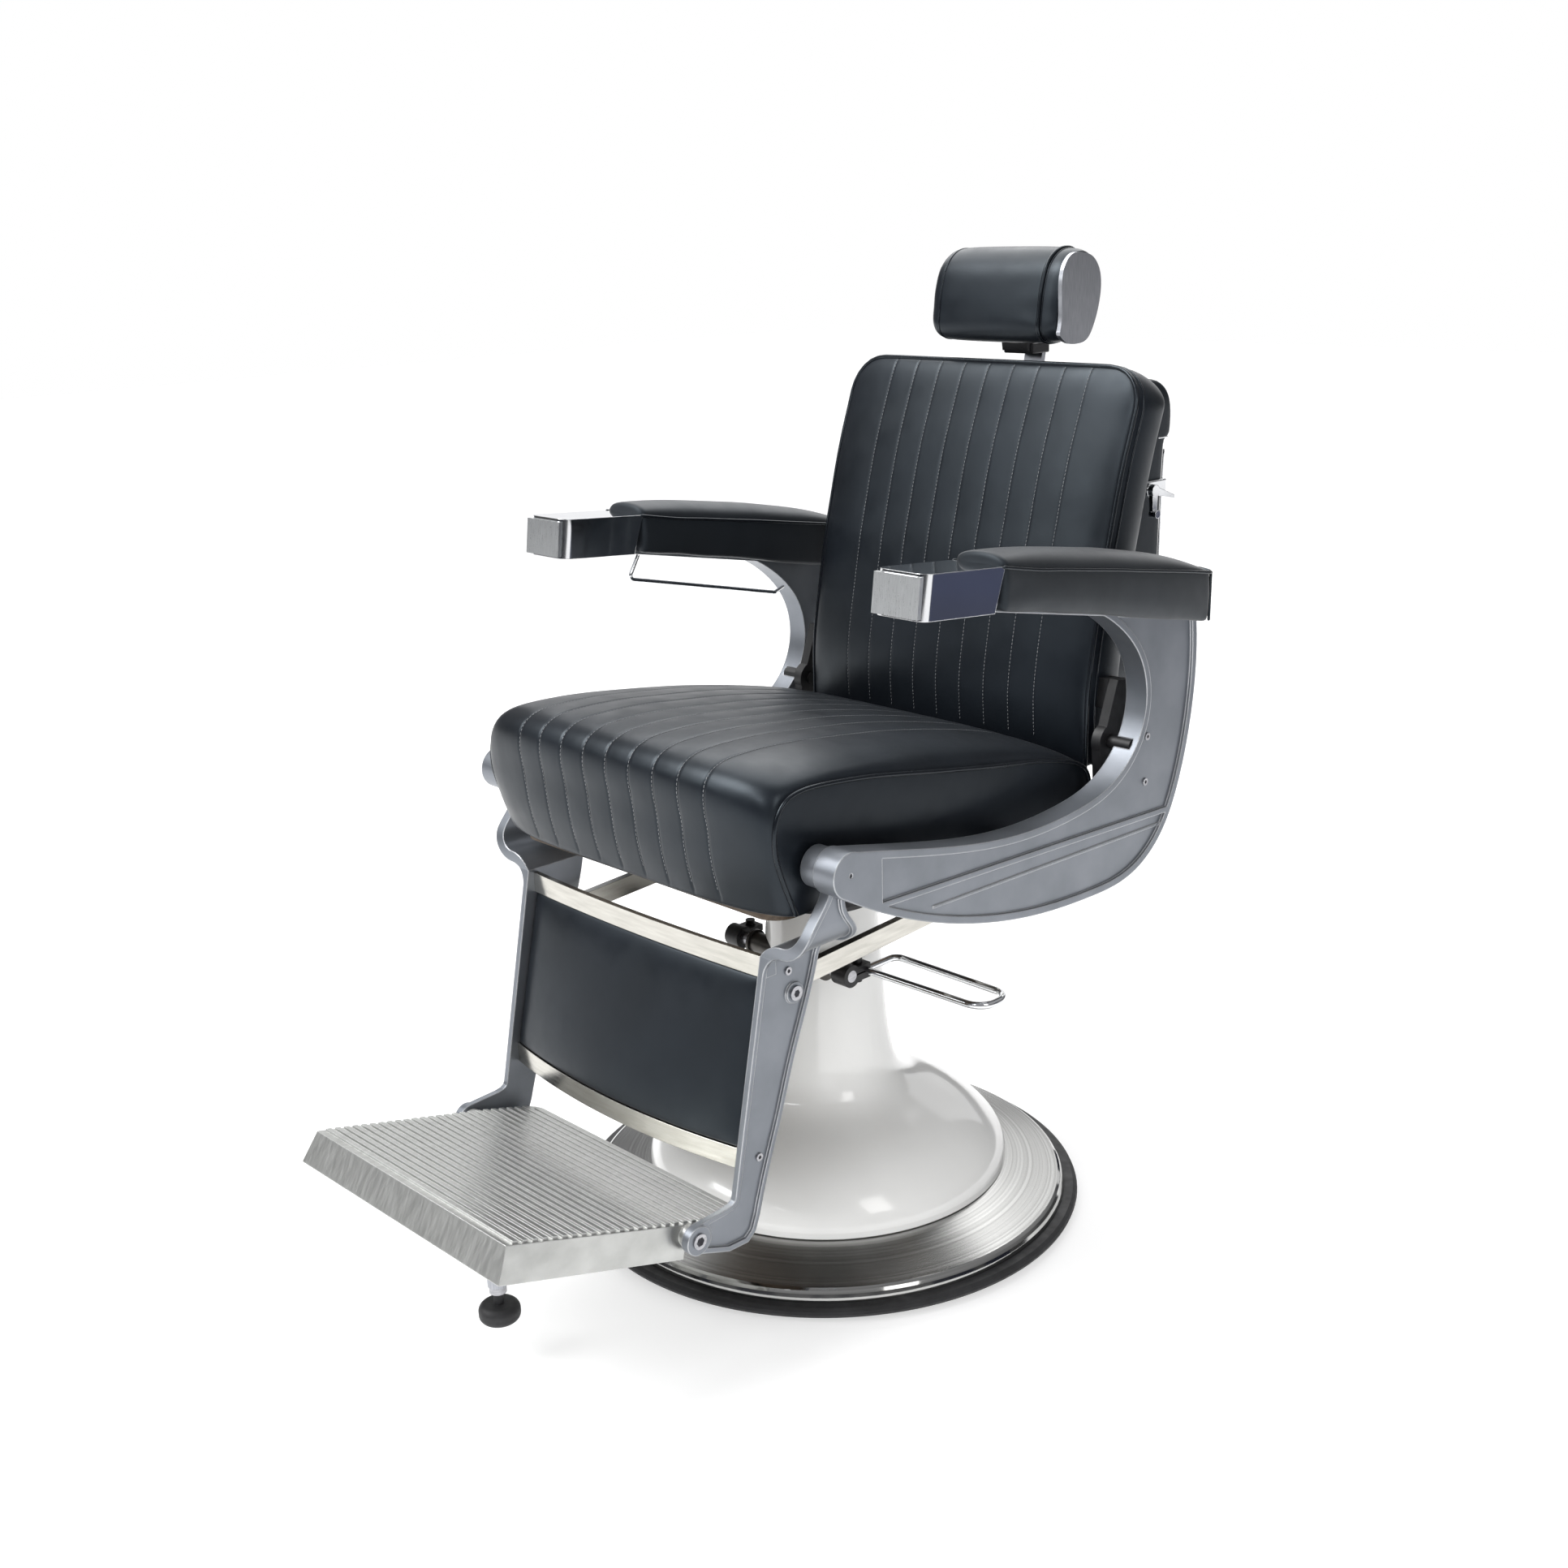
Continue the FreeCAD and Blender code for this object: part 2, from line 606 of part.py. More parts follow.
def make_back_shell():
    """The covered rear box of the back, with a well for the headrest socket."""
    gap = 0.3
    front = [(y + gap, z) for y, z in BACK_REAR[1:]]
    outline = [(BACK_REAR[0][0] + gap, 640)] + front + list(reversed(SHELL_REAR))
    shell = slab(outline, -SHELL_HALF_WIDTH, SHELL_HALF_WIDTH)
    return shell.cut(leaning(-24, 24, 20, 850, 1110))


def make_back_lever():
    """A steel plate on the back's near side: hub, foot for the link rod, and a tongue up the back."""
    pin = link_pin(BACK_PIVOT)
    y, z = BACK_PIVOT
    plate = slab([(y - 21, z), (pin[0] - 14, pin[1]), (pin[0] + 14, pin[1]), (y + 21, z)], LEVER_IN, LEVER_OUT)
    plate = plate.fuse(slab([(y - 15, z), (y + 14, z + 78), (y + 44, z + 74), (y + 21, z)], LEVER_IN, LEVER_OUT))
    plate = plate.fuse(cylinder_x(BACK_PIVOT, 22, LEVER_IN, LEVER_OUT))
    plate = plate.fuse(cylinder_x(pin, 14, LEVER_IN, LEVER_OUT))
    plate = plate.fuse(slab([(y + 6, z + 40), (y + 12, z + 78), (y + 42, z + 74), (y + 34, z + 40)],
                            BACK_HALF_WIDTH + 0.1, LEVER_IN))
    plate = plate.cut(cylinder_x(BACK_PIVOT, 9.0, LEVER_IN - 1, LEVER_OUT + 1))
    return plate.cut(cylinder_x(pin, LINK_ROD_RADIUS, LEVER_IN - 1, LEVER_OUT + 1)).removeSplitter()


def make_link_rod():
    pin = link_pin(BACK_PIVOT)
    return cylinder_x(pin, LINK_ROD_RADIUS, -LEVER_OUT, LEVER_OUT)


def make_headrest_socket():
    outer = leaning(-23.5, 23.5, 19, 852, 1086)
    return outer.cut(leaning(-15.1, 15.1, 8.2, 850, 1100))


HANDLE_PIVOT = (395.0, 938.0)


def make_escutcheon():
    """The chromed plate on the back's near side, with the boss that carries the handle."""
    y, z = HANDLE_PIVOT
    x0 = SHELL_HALF_WIDTH + 0.1
    plate = rounded_box(x0, x0 + 5, y - 33, y + 48, z - 10, z + 10, 2)
    plate = plate.fuse(cylinder_x(HANDLE_PIVOT, 9, x0 + 4, x0 + 14))
    return plate.cut(cylinder_x(HANDLE_PIVOT, 5 + RUNNING, x0 + 2, x0 + 15)).removeSplitter()


def make_recline_handle():
    """A small handle with a thin blade to the back and a knob that hangs down."""
    y, z = HANDLE_PIVOT
    x0 = SHELL_HALF_WIDTH + 0.1
    handle = cylinder_x(HANDLE_PIVOT, 5, x0 + 4, x0 + 22)
    handle = handle.fuse(cylinder_x(HANDLE_PIVOT, 8, x0 + 14.3, x0 + 22))
    handle = handle.fuse(slab([(y + 2, z - 6), (y + 44, z - 14), (y + 44, z - 10), (y + 2, z + 6)],
                              x0 + 15, x0 + 21))
    handle = handle.fuse(slab([(y - 6, z), (y - 4, z - 30), (y + 4, z - 30), (y + 6, z)], x0 + 15, x0 + 21))
    handle = handle.fuse(cylinder_x((y, z - 30), 5.5, x0 + 15, x0 + 26))
    return handle.removeSplitter()


# ---- headrest -----------------------------------------------------------------------
BRACKET_BOTTOM = 1105.0


def make_headrest_post():
    return leaning(-15, 15, 8, 905, BRACKET_BOTTOM + 8)


def make_headrest_bracket():
    """A block on the post's top, with a hub that holds the tilt rod."""
    y, z = TILT_AXIS
    block = rounded_box(-25, 25, y + 2, y + 40, BRACKET_BOTTOM, BRACKET_BOTTOM + 14, 2)
    neck = slab([(y - 4, BRACKET_BOTTOM + 4), (y + 12, BRACKET_BOTTOM + 4), (y + 10, z), (y - 10, z)], -22, 22)
    hub = cylinder_x(TILT_AXIS, 10.5, -22, 22)
    bracket = block.fuse(neck).fuse(hub)
    bracket = bracket.cut(cylinder_x(TILT_AXIS, 5 + RUNNING, -30, 30))
    return bracket.cut(make_headrest_post()).removeSplitter()


PILLOW_OUTLINE = [(336, 1140), (340, 1185), (354, 1224), (378, 1243), (408, 1243), (428, 1226), (431, 1195),
                  (420, 1158), (398, 1128), (372, 1123), (346, 1127)]
PILLOW_HALF_WIDTH = 113.0


def make_pillow():
    """Plain stand-in of the pillow, with a notch for the bracket's hub."""
    pillow = slab(PILLOW_OUTLINE, -PILLOW_HALF_WIDTH, PILLOW_HALF_WIDTH)
    y, z = TILT_AXIS
    pillow = pillow.cut(cylinder_x(TILT_AXIS, 13, -26, 26))
    pillow = pillow.cut(slab([(y - 13, z), (y - 22, z - 40), (y + 60, z - 40), (y + 60, z + 40), (y, z + 14)],
                             -26, 26))
    return pillow.cut(make_tilt_rod())


CAP_OUTLINE = [(340, 1140), (343, 1185), (350, 1225), (365, 1237), (386, 1238), (408, 1232), (423, 1215),
               (423, 1172), (411, 1143), (397, 1127), (376, 1123), (350, 1128)]


def make_end_cap():
    """A brushed metal plate on the pillow's near end."""
    x = PILLOW_HALF_WIDTH + 0.1
    curve = Part.BSplineCurve()
    curve.interpolate(points_at(x, CAP_OUTLINE), True)
    cap = Part.Face(Part.Wire(curve.toShape())).extrude(Vector(6, 0, 0))
    return cap.cut(cylinder_x(TILT_AXIS, 5, x - 1, x + 3))


def make_tilt_rod():
    return cylinder_x(TILT_AXIS, 5, -PILLOW_HALF_WIDTH + 20, PILLOW_HALF_WIDTH + 2)


# ---- leg rest -----------------------------------------------------------------------
NECK_IN = 267.0
NECK_OUT = CASTING_IN - 0.6
BEND_START = 478.0             # height at which the leg arm's blade begins to bend outwards
BEND_MIDDLE = 249.0            # x where the arm runs level between its two bends
LOW_BEND = BEND_MIDDLE - LEG_OUT
HIGH_BEND = NECK_OUT - BEND_MIDDLE
NECK_THICKNESS = 14.0
WEB_DEPTH = 4.0
ARM_RIM = 6.0
NECK_FRONT = [(-288, 600), (-278, 581), (-286, 567), (-298, 553), (-310, 537), (-316, 520), (-317, 500)]
LEG_TOE = [(-374.5, 221), (-376.5, 217), (-381, 214), (-390, 212.5), (-435, 210.5), (-435, 175.5), (-388, 158),
           (-358, 157), (-346, 166)]
LEG_REAR = [(-338, 185), (-317, 248), (-299, 295), (-275, 364), (-253, 418), (-238, 458)]
NECK_REAR = [(-228, 496), (-227, 514), (-234, 531), (-246, 546), (-253, 561), (-254, 577), (-258, 600)]
FOOT_KNUCKLE = 17.5
LINK_BOLT = (LEG_PIVOT[0] + LINK_DROP[0], LEG_PIVOT[1] + LINK_DROP[1])
LEG_SCREWS = ((-333.0, 256.0), (-278.0, 471.0))


def leg_plan(x0, x1, margin):
    """The leg arm's side outline, moved inwards by a margin and extruded from x0 to x1."""
    outline = inset(NECK_FRONT + LEG_TOE + LEG_REAR + NECK_REAR, margin)
    neck_count = len(NECK_FRONT)
    rear_start = neck_count + len(LEG_TOE)
    points = points_at(x0, outline)
    neck = smooth(points[:neck_count])
    toe = Part.makePolygon(points[neck_count - 1:rear_start + 1])
    rear = smooth(points[rear_start:])
    top = Part.makeLine(points[-1], points[0])
    return curved_slab([neck] + toe.Edges + [rear, top], x0, x1)


def bent_band(depth_out, depth_in):
    """The leg arm's S-bend from blade to neck, between two depths below its outer face."""
    top = 640.0
    high_centre = BEND_START + LOW_BEND + HIGH_BEND
    chains = []
    for depth in (depth_out, depth_in):
        low = LOW_BEND + depth
        high = HIGH_BEND - depth
        middle = math.sqrt(0.5)
        start = (BEND_MIDDLE - low, BEND_START)
        level = (BEND_MIDDLE, BEND_START + low)
        finish = (BEND_MIDDLE + high, high_centre)
        low_middle = (BEND_MIDDLE - low * middle, BEND_START + low * middle)
        high_middle = (BEND_MIDDLE + high * middle, high_centre - high * middle)
        places = [Vector(x, -500, z) for x, z in (start, low_middle, level, high_middle, finish)]
        edges = [Part.Arc(*places[:3]).toShape(), Part.Arc(*places[2:]).toShape(),
                 Part.makeLine(places[4], Vector(finish[0], -500, top))]
        chains.append((edges, places[0], Vector(finish[0], -500, top)))
    (outer, outer_start, outer_end), (inner, inner_start, inner_end) = chains
    closing = [Part.makeLine(outer_start, inner_start), Part.makeLine(outer_end, inner_end)]
    wire = Part.Wire(Part.__sortEdges__(outer + inner + closing))
    return Part.Face(wire).extrude(Vector(0, 400, 0))


def make_leg_arm():
    """The near leg arm: a neck beside the side frame, an S-bend inwards, a wide blade down to the foot hinge."""
    below_bend = box(LEG_IN, LEG_OUT, -500, -100, 100, BEND_START)
    path = below_bend.fuse(bent_band(0, NECK_THICKNESS))
    arm = leg_plan(LEG_IN, NECK_OUT + 1, 0.0).common(path)
    web = box(LEG_OUT - WEB_DEPTH, LEG_OUT + 1, -500, -100, 100, BEND_START).fuse(bent_band(-1, WEB_DEPTH))
    web = web.common(leg_plan(LEG_IN, NECK_OUT + 2, ARM_RIM))
    web = web.cut(cylinder_x(FOOT_PIVOT, FOOT_KNUCKLE + 4, LEG_IN, LEG_OUT + 5))
    arm = arm.cut(web)
    arm = arm.fuse(cylinder_x(FOOT_PIVOT, FOOT_KNUCKLE, LEG_IN, LEG_OUT + 3))
    arm = arm.fuse(cylinder_x(LINK_BOLT, 13, LEG_OUT - 5, LEG_OUT - 1))
    arm = arm.fuse(cylinder_x(LEG_PIVOT, 24, NECK_IN, NECK_OUT))
    rail_seat = box(LEG_IN, LEG_OUT - 1, TOP_RAIL_Y - 6, TOP_RAIL_Y + 10, BEND_START - 4, BEND_START + 17)
    arm = arm.fuse(rail_seat)
    arm = arm.cut(cylinder_x(LEG_PIVOT, 9.0, NECK_IN - 1, CASTING_OUT))
    arm = arm.cut(cylinder_x(FOOT_PIVOT, 7.0, LEG_IN - 1, LEG_OUT + 9))
    arm = arm.cut(cylinder_x(LINK_BOLT, 6.0, LEG_IN - 1, LEG_OUT + 9))
    for place in LEG_SCREWS:
        arm = arm.cut(cylinder_x(place, 3.6, LEG_IN - 1, LEG_OUT + 1))
    return arm


def bowed_bar(end_y, bow, depth, half_height, z_mid):
    """A flat bar from arm to arm, bowed forwards in the middle."""
    x = LEG_IN - 0.1
    z0 = z_mid - half_height
    front = Part.Arc(Vector(-x, end_y, z0), Vector(0, end_y - bow, z0), Vector(x, end_y, z0)).toShape()
    rear = Part.Arc(Vector(-x, end_y + depth, z0), Vector(0, end_y - bow + depth, z0),
                    Vector(x, end_y + depth, z0)).toShape()
    left = Part.makeLine(Vector(-x, end_y, z0), Vector(-x, end_y + depth, z0))
    right = Part.makeLine(Vector(x, end_y, z0), Vector(x, end_y + depth, z0))
    return Part.Face(Part.Wire([front, right, rear, left])).extrude(Vector(0, 0, 2 * half_height))


RAIL_DEPTH = 7.0
TOP_RAIL_Z = 482.0
TOP_RAIL_Y = -309.0
TOP_RAIL_BOW = 8.0
LOW_RAIL_Z = 258.5
LOW_RAIL_Y = -354.0
LOW_RAIL_BOW = 22.0
RAIL_HALF_HEIGHT = 13.0


def make_top_rail():
    return bowed_bar(TOP_RAIL_Y, TOP_RAIL_BOW, RAIL_DEPTH, RAIL_HALF_HEIGHT, TOP_RAIL_Z)


def make_low_rail():
    return bowed_bar(LOW_RAIL_Y, LOW_RAIL_BOW, RAIL_DEPTH, RAIL_HALF_HEIGHT, LOW_RAIL_Z)


def panel_layer(depth_front, depth_rear, margin):
    """A bowed sheet between the rails, from one depth behind the rails' front to another."""
    x = LEG_IN - margin
    wires = []
    for z, end_y, bow in ((LOW_RAIL_Z + RAIL_HALF_HEIGHT + 0.3, LOW_RAIL_Y, LOW_RAIL_BOW),
                          (TOP_RAIL_Z - RAIL_HALF_HEIGHT - 0.3, TOP_RAIL_Y, TOP_RAIL_BOW)):
        front = Part.Arc(Vector(-x, end_y + depth_front, z), Vector(0, end_y - bow + depth_front, z),
                         Vector(x, end_y + depth_front, z)).toShape()
        rear = Part.Arc(Vector(x, end_y + depth_rear, z), Vector(0, end_y - bow + depth_rear, z),
                        Vector(-x, end_y + depth_rear, z)).toShape()
        right = Part.makeLine(Vector(x, end_y + depth_front, z), Vector(x, end_y + depth_rear, z))
        left = Part.makeLine(Vector(-x, end_y + depth_rear, z), Vector(-x, end_y + depth_front, z))
        wires.append(Part.Wire([front, right, rear, left]))
    return Part.makeLoft(wires, True, True)


def make_leg_panel():
    return panel_layer(-6, 9, 1.0)


def make_leg_board():
    return panel_layer(9.1, 14, 1.0)


def make_leg_screws():
    screws = []
    for place in LEG_SCREWS:
        screw = socket_screw(place, 5.0, LEG_OUT - WEB_DEPTH, LEG_OUT - WEB_DEPTH + 2, 3.5, 3.9)
        screws.extend([screw, mirrored(screw)])
    return Part.makeCompound(screws)


def make_link_bolts():
    """Socket bolts on which the link bars turn, through the leg arms."""
    bolt = cylinder_x(LINK_BOLT, 6.0, LINK_IN - 2, LEG_OUT)
    bolt = bolt.fuse(cylinder_x(LINK_BOLT, 9.0, LEG_OUT - 1, LEG_OUT + 2))
    bolt = bolt.cut(hex_head(LINK_BOLT, 8.0, LEG_OUT - 4, LEG_OUT + 3))
    bolt = bolt.fuse(cylinder_x(LINK_BOLT, 9.0, LINK_IN - 6, LINK_IN - 0.5))
    bolt = bolt.fuse(cylinder_x(LINK_BOLT, 9.0, LINK_OUT + 0.3, LEG_IN))
    return both_sides(bolt.removeSplitter())


def make_foot_bolts():
    bolt = cylinder_x(FOOT_PIVOT, 7.0, LEG_IN - 18, LEG_OUT + 3)
    bolt = bolt.fuse(cylinder_x(FOOT_PIVOT, 9.5, LEG_OUT + 3, LEG_OUT + 5))
    bolt = bolt.cut(hex_head(FOOT_PIVOT, 10, LEG_OUT - 1, LEG_OUT + 6))
    return both_sides(bolt.removeSplitter())


def make_link_bar():
    """A flat bar from the leg arm's bolt back to the rod on the back levers."""
    front = LINK_BOLT
    rear = link_pin(BACK_PIVOT)
    half = 12.5
    bar = slab([(front[0], front[1] - half), (rear[0], rear[1] - half), (rear[0], rear[1] + half),
                (front[0], front[1] + half)], LINK_IN, LINK_OUT)
    bar = bar.fuse(cylinder_x(front, half, LINK_IN, LINK_OUT)).fuse(cylinder_x(rear, half + 2, LINK_IN, LINK_OUT))
    bar = bar.cut(cylinder_x(front, 6.0 + RUNNING, LINK_IN - 1, LINK_OUT + 1))
    return bar.cut(cylinder_x(rear, LINK_ROD_RADIUS + 0.4, LINK_IN - 1, LINK_OUT + 1)).removeSplitter()


# ---- footrest -----------------------------------------------------------------------
PLATE_REACH = 246.0            # from the hinge to the front edge, along the top
PLATE_TAIL = -100.0            # behind the hinge
TAIL_START = 2.0               # the plate's deep part ends this far before the hinge
TAIL_HALF_WIDTH = 206.0
TAIL_LOWER = -4.0
TAIL_CORNER = 14.0
PLATE_UPPER = 12.0             # top of the plate above the hinge line
PLATE_LOWER = -28.0
HALF_WIDTH_TOP = 187.0         # at the front edge
HALF_WIDTH_LOW = 196.0
TOP_WIDENING = 18.0            # how much each side's top edge gains from front to rear
LOW_WIDENING = 12.0
LUG_RADIUS = 13.0
RIB_COUNT = 26
RIB_HEIGHT = 3.0
FOOT_Y = -558.0
FOOT_TUBE_RADIUS = 12.0
FOOT_TUBE_BOTTOM = 97.0
STEM_RADIUS = 6.0
FOOT_BOTTOM = 50.0
FOOT_TOP = 73.0


def tilt_plate(shape):
    """Moves a shape from hinge-centred, level coordinates to the tilted place at rest."""
    shape.rotate(Vector(0, 0, 0), X_AXIS, -FOOTPLATE_TILT)
    shape.translate(Vector(0, FOOT_PIVOT[0], FOOT_PIVOT[1]))
    return shape


def flared(margin, rear, z_low, z_high):
    """A block that flares out towards the bottom and widens towards the rear, moved inwards by a margin."""
    wires = []
    for half, wider, front, z in ((HALF_WIDTH_LOW, LOW_WIDENING, PLATE_REACH + 8, z_low),
                                  (HALF_WIDTH_TOP, TOP_WIDENING, PLATE_REACH, z_high)):
        ahead, behind, front = half - margin, half + wider - margin, front - margin
        corners = [Vector(-ahead, -front, z), Vector(ahead, -front, z), Vector(behind, -rear, z),
                   Vector(-behind, -rear, z)]
        wires.append(Part.makePolygon(corners + corners[:1]))
    return Part.makeLoft(wires, True, True)


def make_footplate():
    """The ribbed casting, hollow underneath, with two hinge lugs."""
    wall = 8
    plate = flared(0, TAIL_START, PLATE_LOWER, PLATE_UPPER)
    plate = plate.cut(flared(wall, TAIL_START + wall, PLATE_LOWER - 1, PLATE_UPPER - wall))
    tail = box(-TAIL_HALF_WIDTH, TAIL_HALF_WIDTH, -TAIL_START - 4, -PLATE_TAIL, TAIL_LOWER, PLATE_UPPER)
    rear_corners = [edge for edge in edges_along(tail, Z_AXIS) if edge.CenterOfMass.y > 0]
    plate = plate.fuse(tail.makeFillet(TAIL_CORNER, rear_corners))
    pitch = (PLATE_REACH - PLATE_TAIL - 14) / RIB_COUNT
    for step in range(RIB_COUNT):
        front = PLATE_REACH - 10 - step * pitch
        half = HALF_WIDTH_TOP + TOP_WIDENING * min(1.0, (PLATE_REACH - front) / PLATE_REACH) - 3
        if front - pitch < PLATE_TAIL + TAIL_CORNER:
            half = TAIL_HALF_WIDTH - TAIL_CORNER
        rib = box(-half, half, -front, -front + pitch * 0.55, PLATE_UPPER - 1, PLATE_UPPER + RIB_HEIGHT)
        plate = plate.fuse(rib)
    lug = cylinder_x((0, 0), LUG_RADIUS, TAIL_HALF_WIDTH - 12, LEG_IN - 0.5)
    bore = cylinder_x((0, 0), 7 + RUNNING, LEG_IN - 19, LEG_IN)
    for side in (1, -1):
        plate = plate.fuse(lug if side > 0 else mirrored(lug))
        plate = plate.cut(bore if side > 0 else mirrored(bore))
    plate = plate.fuse(foot_pad_under_plate())
    return tilt_plate(plate.removeSplitter())


def foot_pad_under_plate():
    """The boss inside the hollow that the support tube is fixed to."""
    reach = (FOOT_PIVOT[0] - FOOT_Y) / math.cos(math.radians(FOOTPLATE_TILT))
    reach = reach - 10
    return Part.makeCylinder(24, 10, Vector(0, -reach, PLATE_UPPER - 17), Z_AXIS)


def make_foot_tube():
    """The support tube, cut to the slope of the boss above it."""
    slope = math.tan(math.radians(FOOTPLATE_TILT))
    top = FOOT_PIVOT[1] + (FOOT_PIVOT[0] - FOOT_Y) * slope + (PLATE_UPPER - 17.2) / math.cos(
        math.radians(FOOTPLATE_TILT))
    tube = cylinder_z(0, FOOT_Y, FOOT_TUBE_RADIUS, FOOT_TUBE_BOTTOM, top + 20)
    cutter = slab([(FOOT_Y - 60, top + 60 * slope), (FOOT_Y + 60, top - 60 * slope),
                   (FOOT_Y + 60, top + 90), (FOOT_Y - 60, top + 90)], -60, 60)
    tube = tube.cut(cutter)
    return tube.cut(cylinder_z(0, FOOT_Y, STEM_RADIUS + RUNNING, FOOT_TUBE_BOTTOM - 1, 190))


def make_lock_nut():
    nut = cylinder_z(0, FOOT_Y, 10.5, 88, 96)
    return nut.cut(cylinder_z(0, FOOT_Y, STEM_RADIUS + RUNNING, 80, 100))


def make_foot_stem():
    return cylinder_z(0, FOOT_Y, STEM_RADIUS, FOOT_TOP - 14, 158)


def make_rubber_foot():
    """A round rubber foot, like a flattened ball."""
    height = FOOT_TOP - FOOT_BOTTOM
    foot = cylinder_z(0, FOOT_Y, 25, FOOT_BOTTOM, FOOT_TOP)
    rims = [e for e in foot.Edges if e.Curve.TypeId == "Part::GeomCircle"]
    foot = foot.makeFillet(height * 0.4, rims)
    return foot.cut(cylinder_z(0, FOOT_Y, STEM_RADIUS, FOOT_TOP - 14, FOOT_TOP + 1))


# ---- all sub-parts ------------------------------------------------------------------
def main():
    os.makedirs("parts", exist_ok=True)
    save("floor_ring", make_floor_ring())
    save("base_dish", make_base_dish())
    save("bell_cover", make_bell_cover())
    save("base_plate", make_base_plate())
    save("hydraulic_cylinder", make_cylinder())
    save("cylinder_bolts", make_cylinder_bolts())
    save("oil_reservoir", make_reservoir())
    save("pump_block", make_pump_block())
    save("shaft_bushes", make_shaft_bushes())
    save("gland_ring", make_gland_ring())
    save("column_screw", make_column_screw())
    save("pump_shaft", make_pump_shaft())
    save("lever_clamps", make_lever_clamps())
    save("clamp_screws", make_clamp_screws())
    save("pump_lever_rod", make_lever_rod())
    save("ram", make_ram())
    save("ram_seal", make_ram_seal())
    save("ram_head", make_ram_head())
    save("thrust_washer", make_thrust_washer())
    save("seat_hub", make_seat_hub())
    save("cross_beams", make_cross_beams())
    save("seat_board", make_seat_board())
    save("seat_cushion", make_seat_cushion())
    casting = make_side_casting()
    save("side_casting_left", casting)
    save("side_casting_right", mirrored(casting))
    save("casting_screws", make_casting_screws())
    cap = make_arm_cap()
    save("arm_cap_left", cap)
    save("arm_cap_right", mirrored(cap))
    save("arm_face_plates", make_arm_faces())
    pad = make_arm_pad()
    save("arm_pad_left", pad)
    save("arm_pad_right", mirrored(pad))
    save("towel_bar", make_towel_bar())
    save("leg_pivot_pins", make_pivot_pins(LEG_PIVOT, NECK_IN - 2))
    save("back_pivot_pins", make_pivot_pins(BACK_PIVOT, LEVER_IN - 2))
    save("back_cushion", make_back_cushion())
    save("back_shell", make_back_shell())
    lever = make_back_lever()
    save("back_lever_left", lever)
    save("back_lever_right", mirrored(lever))
    save("link_rod", make_link_rod())
    save("headrest_socket", make_headrest_socket())
    save("recline_escutcheon", make_escutcheon())
    save("recline_handle", make_recline_handle())
    save("headrest_post", make_headrest_post())
    save("headrest_bracket", make_headrest_bracket())
    save("headrest_pillow", make_pillow())
    save("end_cap", make_end_cap())
    save("tilt_rod", make_tilt_rod())
    arm = make_leg_arm()
    save("leg_arm_left", arm)
    save("leg_arm_right", mirrored(arm))
    save("leg_top_rail", make_top_rail())
    save("leg_low_rail", make_low_rail())
    save("leg_panel", make_leg_panel())
    save("leg_board", make_leg_board())
    save("leg_fasteners", Part.makeCompound([make_leg_screws(), make_link_bolts(), make_foot_bolts()]))
    save("link_bars", both_sides(make_link_bar()))
    save("footplate", make_footplate())
    save("foot_tube", make_foot_tube())
    save("foot_lock_nut", make_lock_nut())
    save("rubber_foot", Part.makeCompound([make_foot_stem(), make_rubber_foot()]))


main()
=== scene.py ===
"""Looks of the barber chair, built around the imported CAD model. Lengths are in mm until a mesh is made."""
import json
import math

import bmesh
import bpy
import numpy as np
from mathutils import Matrix, Vector
from mathutils.bvhtree import BVHTree
from mathutils.kdtree import KDTree


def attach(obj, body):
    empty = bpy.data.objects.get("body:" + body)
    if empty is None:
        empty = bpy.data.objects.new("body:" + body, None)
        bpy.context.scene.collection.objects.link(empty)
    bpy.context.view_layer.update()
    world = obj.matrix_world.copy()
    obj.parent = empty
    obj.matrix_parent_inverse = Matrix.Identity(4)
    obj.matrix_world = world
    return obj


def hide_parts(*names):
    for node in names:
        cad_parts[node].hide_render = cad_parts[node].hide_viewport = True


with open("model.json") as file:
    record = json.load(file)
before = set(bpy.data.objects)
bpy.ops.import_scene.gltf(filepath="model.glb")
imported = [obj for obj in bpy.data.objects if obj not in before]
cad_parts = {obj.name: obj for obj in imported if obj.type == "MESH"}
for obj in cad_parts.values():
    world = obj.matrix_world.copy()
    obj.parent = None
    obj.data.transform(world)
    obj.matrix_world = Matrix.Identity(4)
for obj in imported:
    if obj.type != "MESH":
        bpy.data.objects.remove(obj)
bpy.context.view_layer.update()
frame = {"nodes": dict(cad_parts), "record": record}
nodes = frame["nodes"]
scene = bpy.context.scene
MM = 0.001

# The camera: its place in metres, its direction in degrees, its lens and sensor in mm.
CAMERA_PLACE = (1.6281, -1.6342, 1.2976)
AZIMUTH, PITCH, ROLL = 46.04, 17.15, -1.66
LENS, SENSOR_WIDTH = 42.5, 36.0
# Floor, cards and room, in metres. ROOM_LEVELS runs from straight down (0) to straight up (1).
FLOOR_SIDE, FLOOR_DROP, FLOOR_GLOW = 28.0, 0.0005, 0.55
CARD_HEIGHT = 0.01
ROOM_STRENGTH = 0.62
ROOM_LEVELS = ((0.0, 0.30), (0.48, 0.22), (0.5, 0.10), (0.58, 0.16), (0.68, 0.42), (0.8, 0.62), (1.0, 0.5))
ROOM_DARK = (0.02, 0.025, 0.05)
# Nearly all values of a noise texture lie in this span.
NOISE_SPAN = (0.3, 0.7)


# ---- camera, light, floor -----------------------------------------------------------
def linked(name, data):
    """A new object in the scene around a mesh, a camera or a lamp."""
    made = bpy.data.objects.new(name, data)
    scene.collection.objects.link(made)
    return made


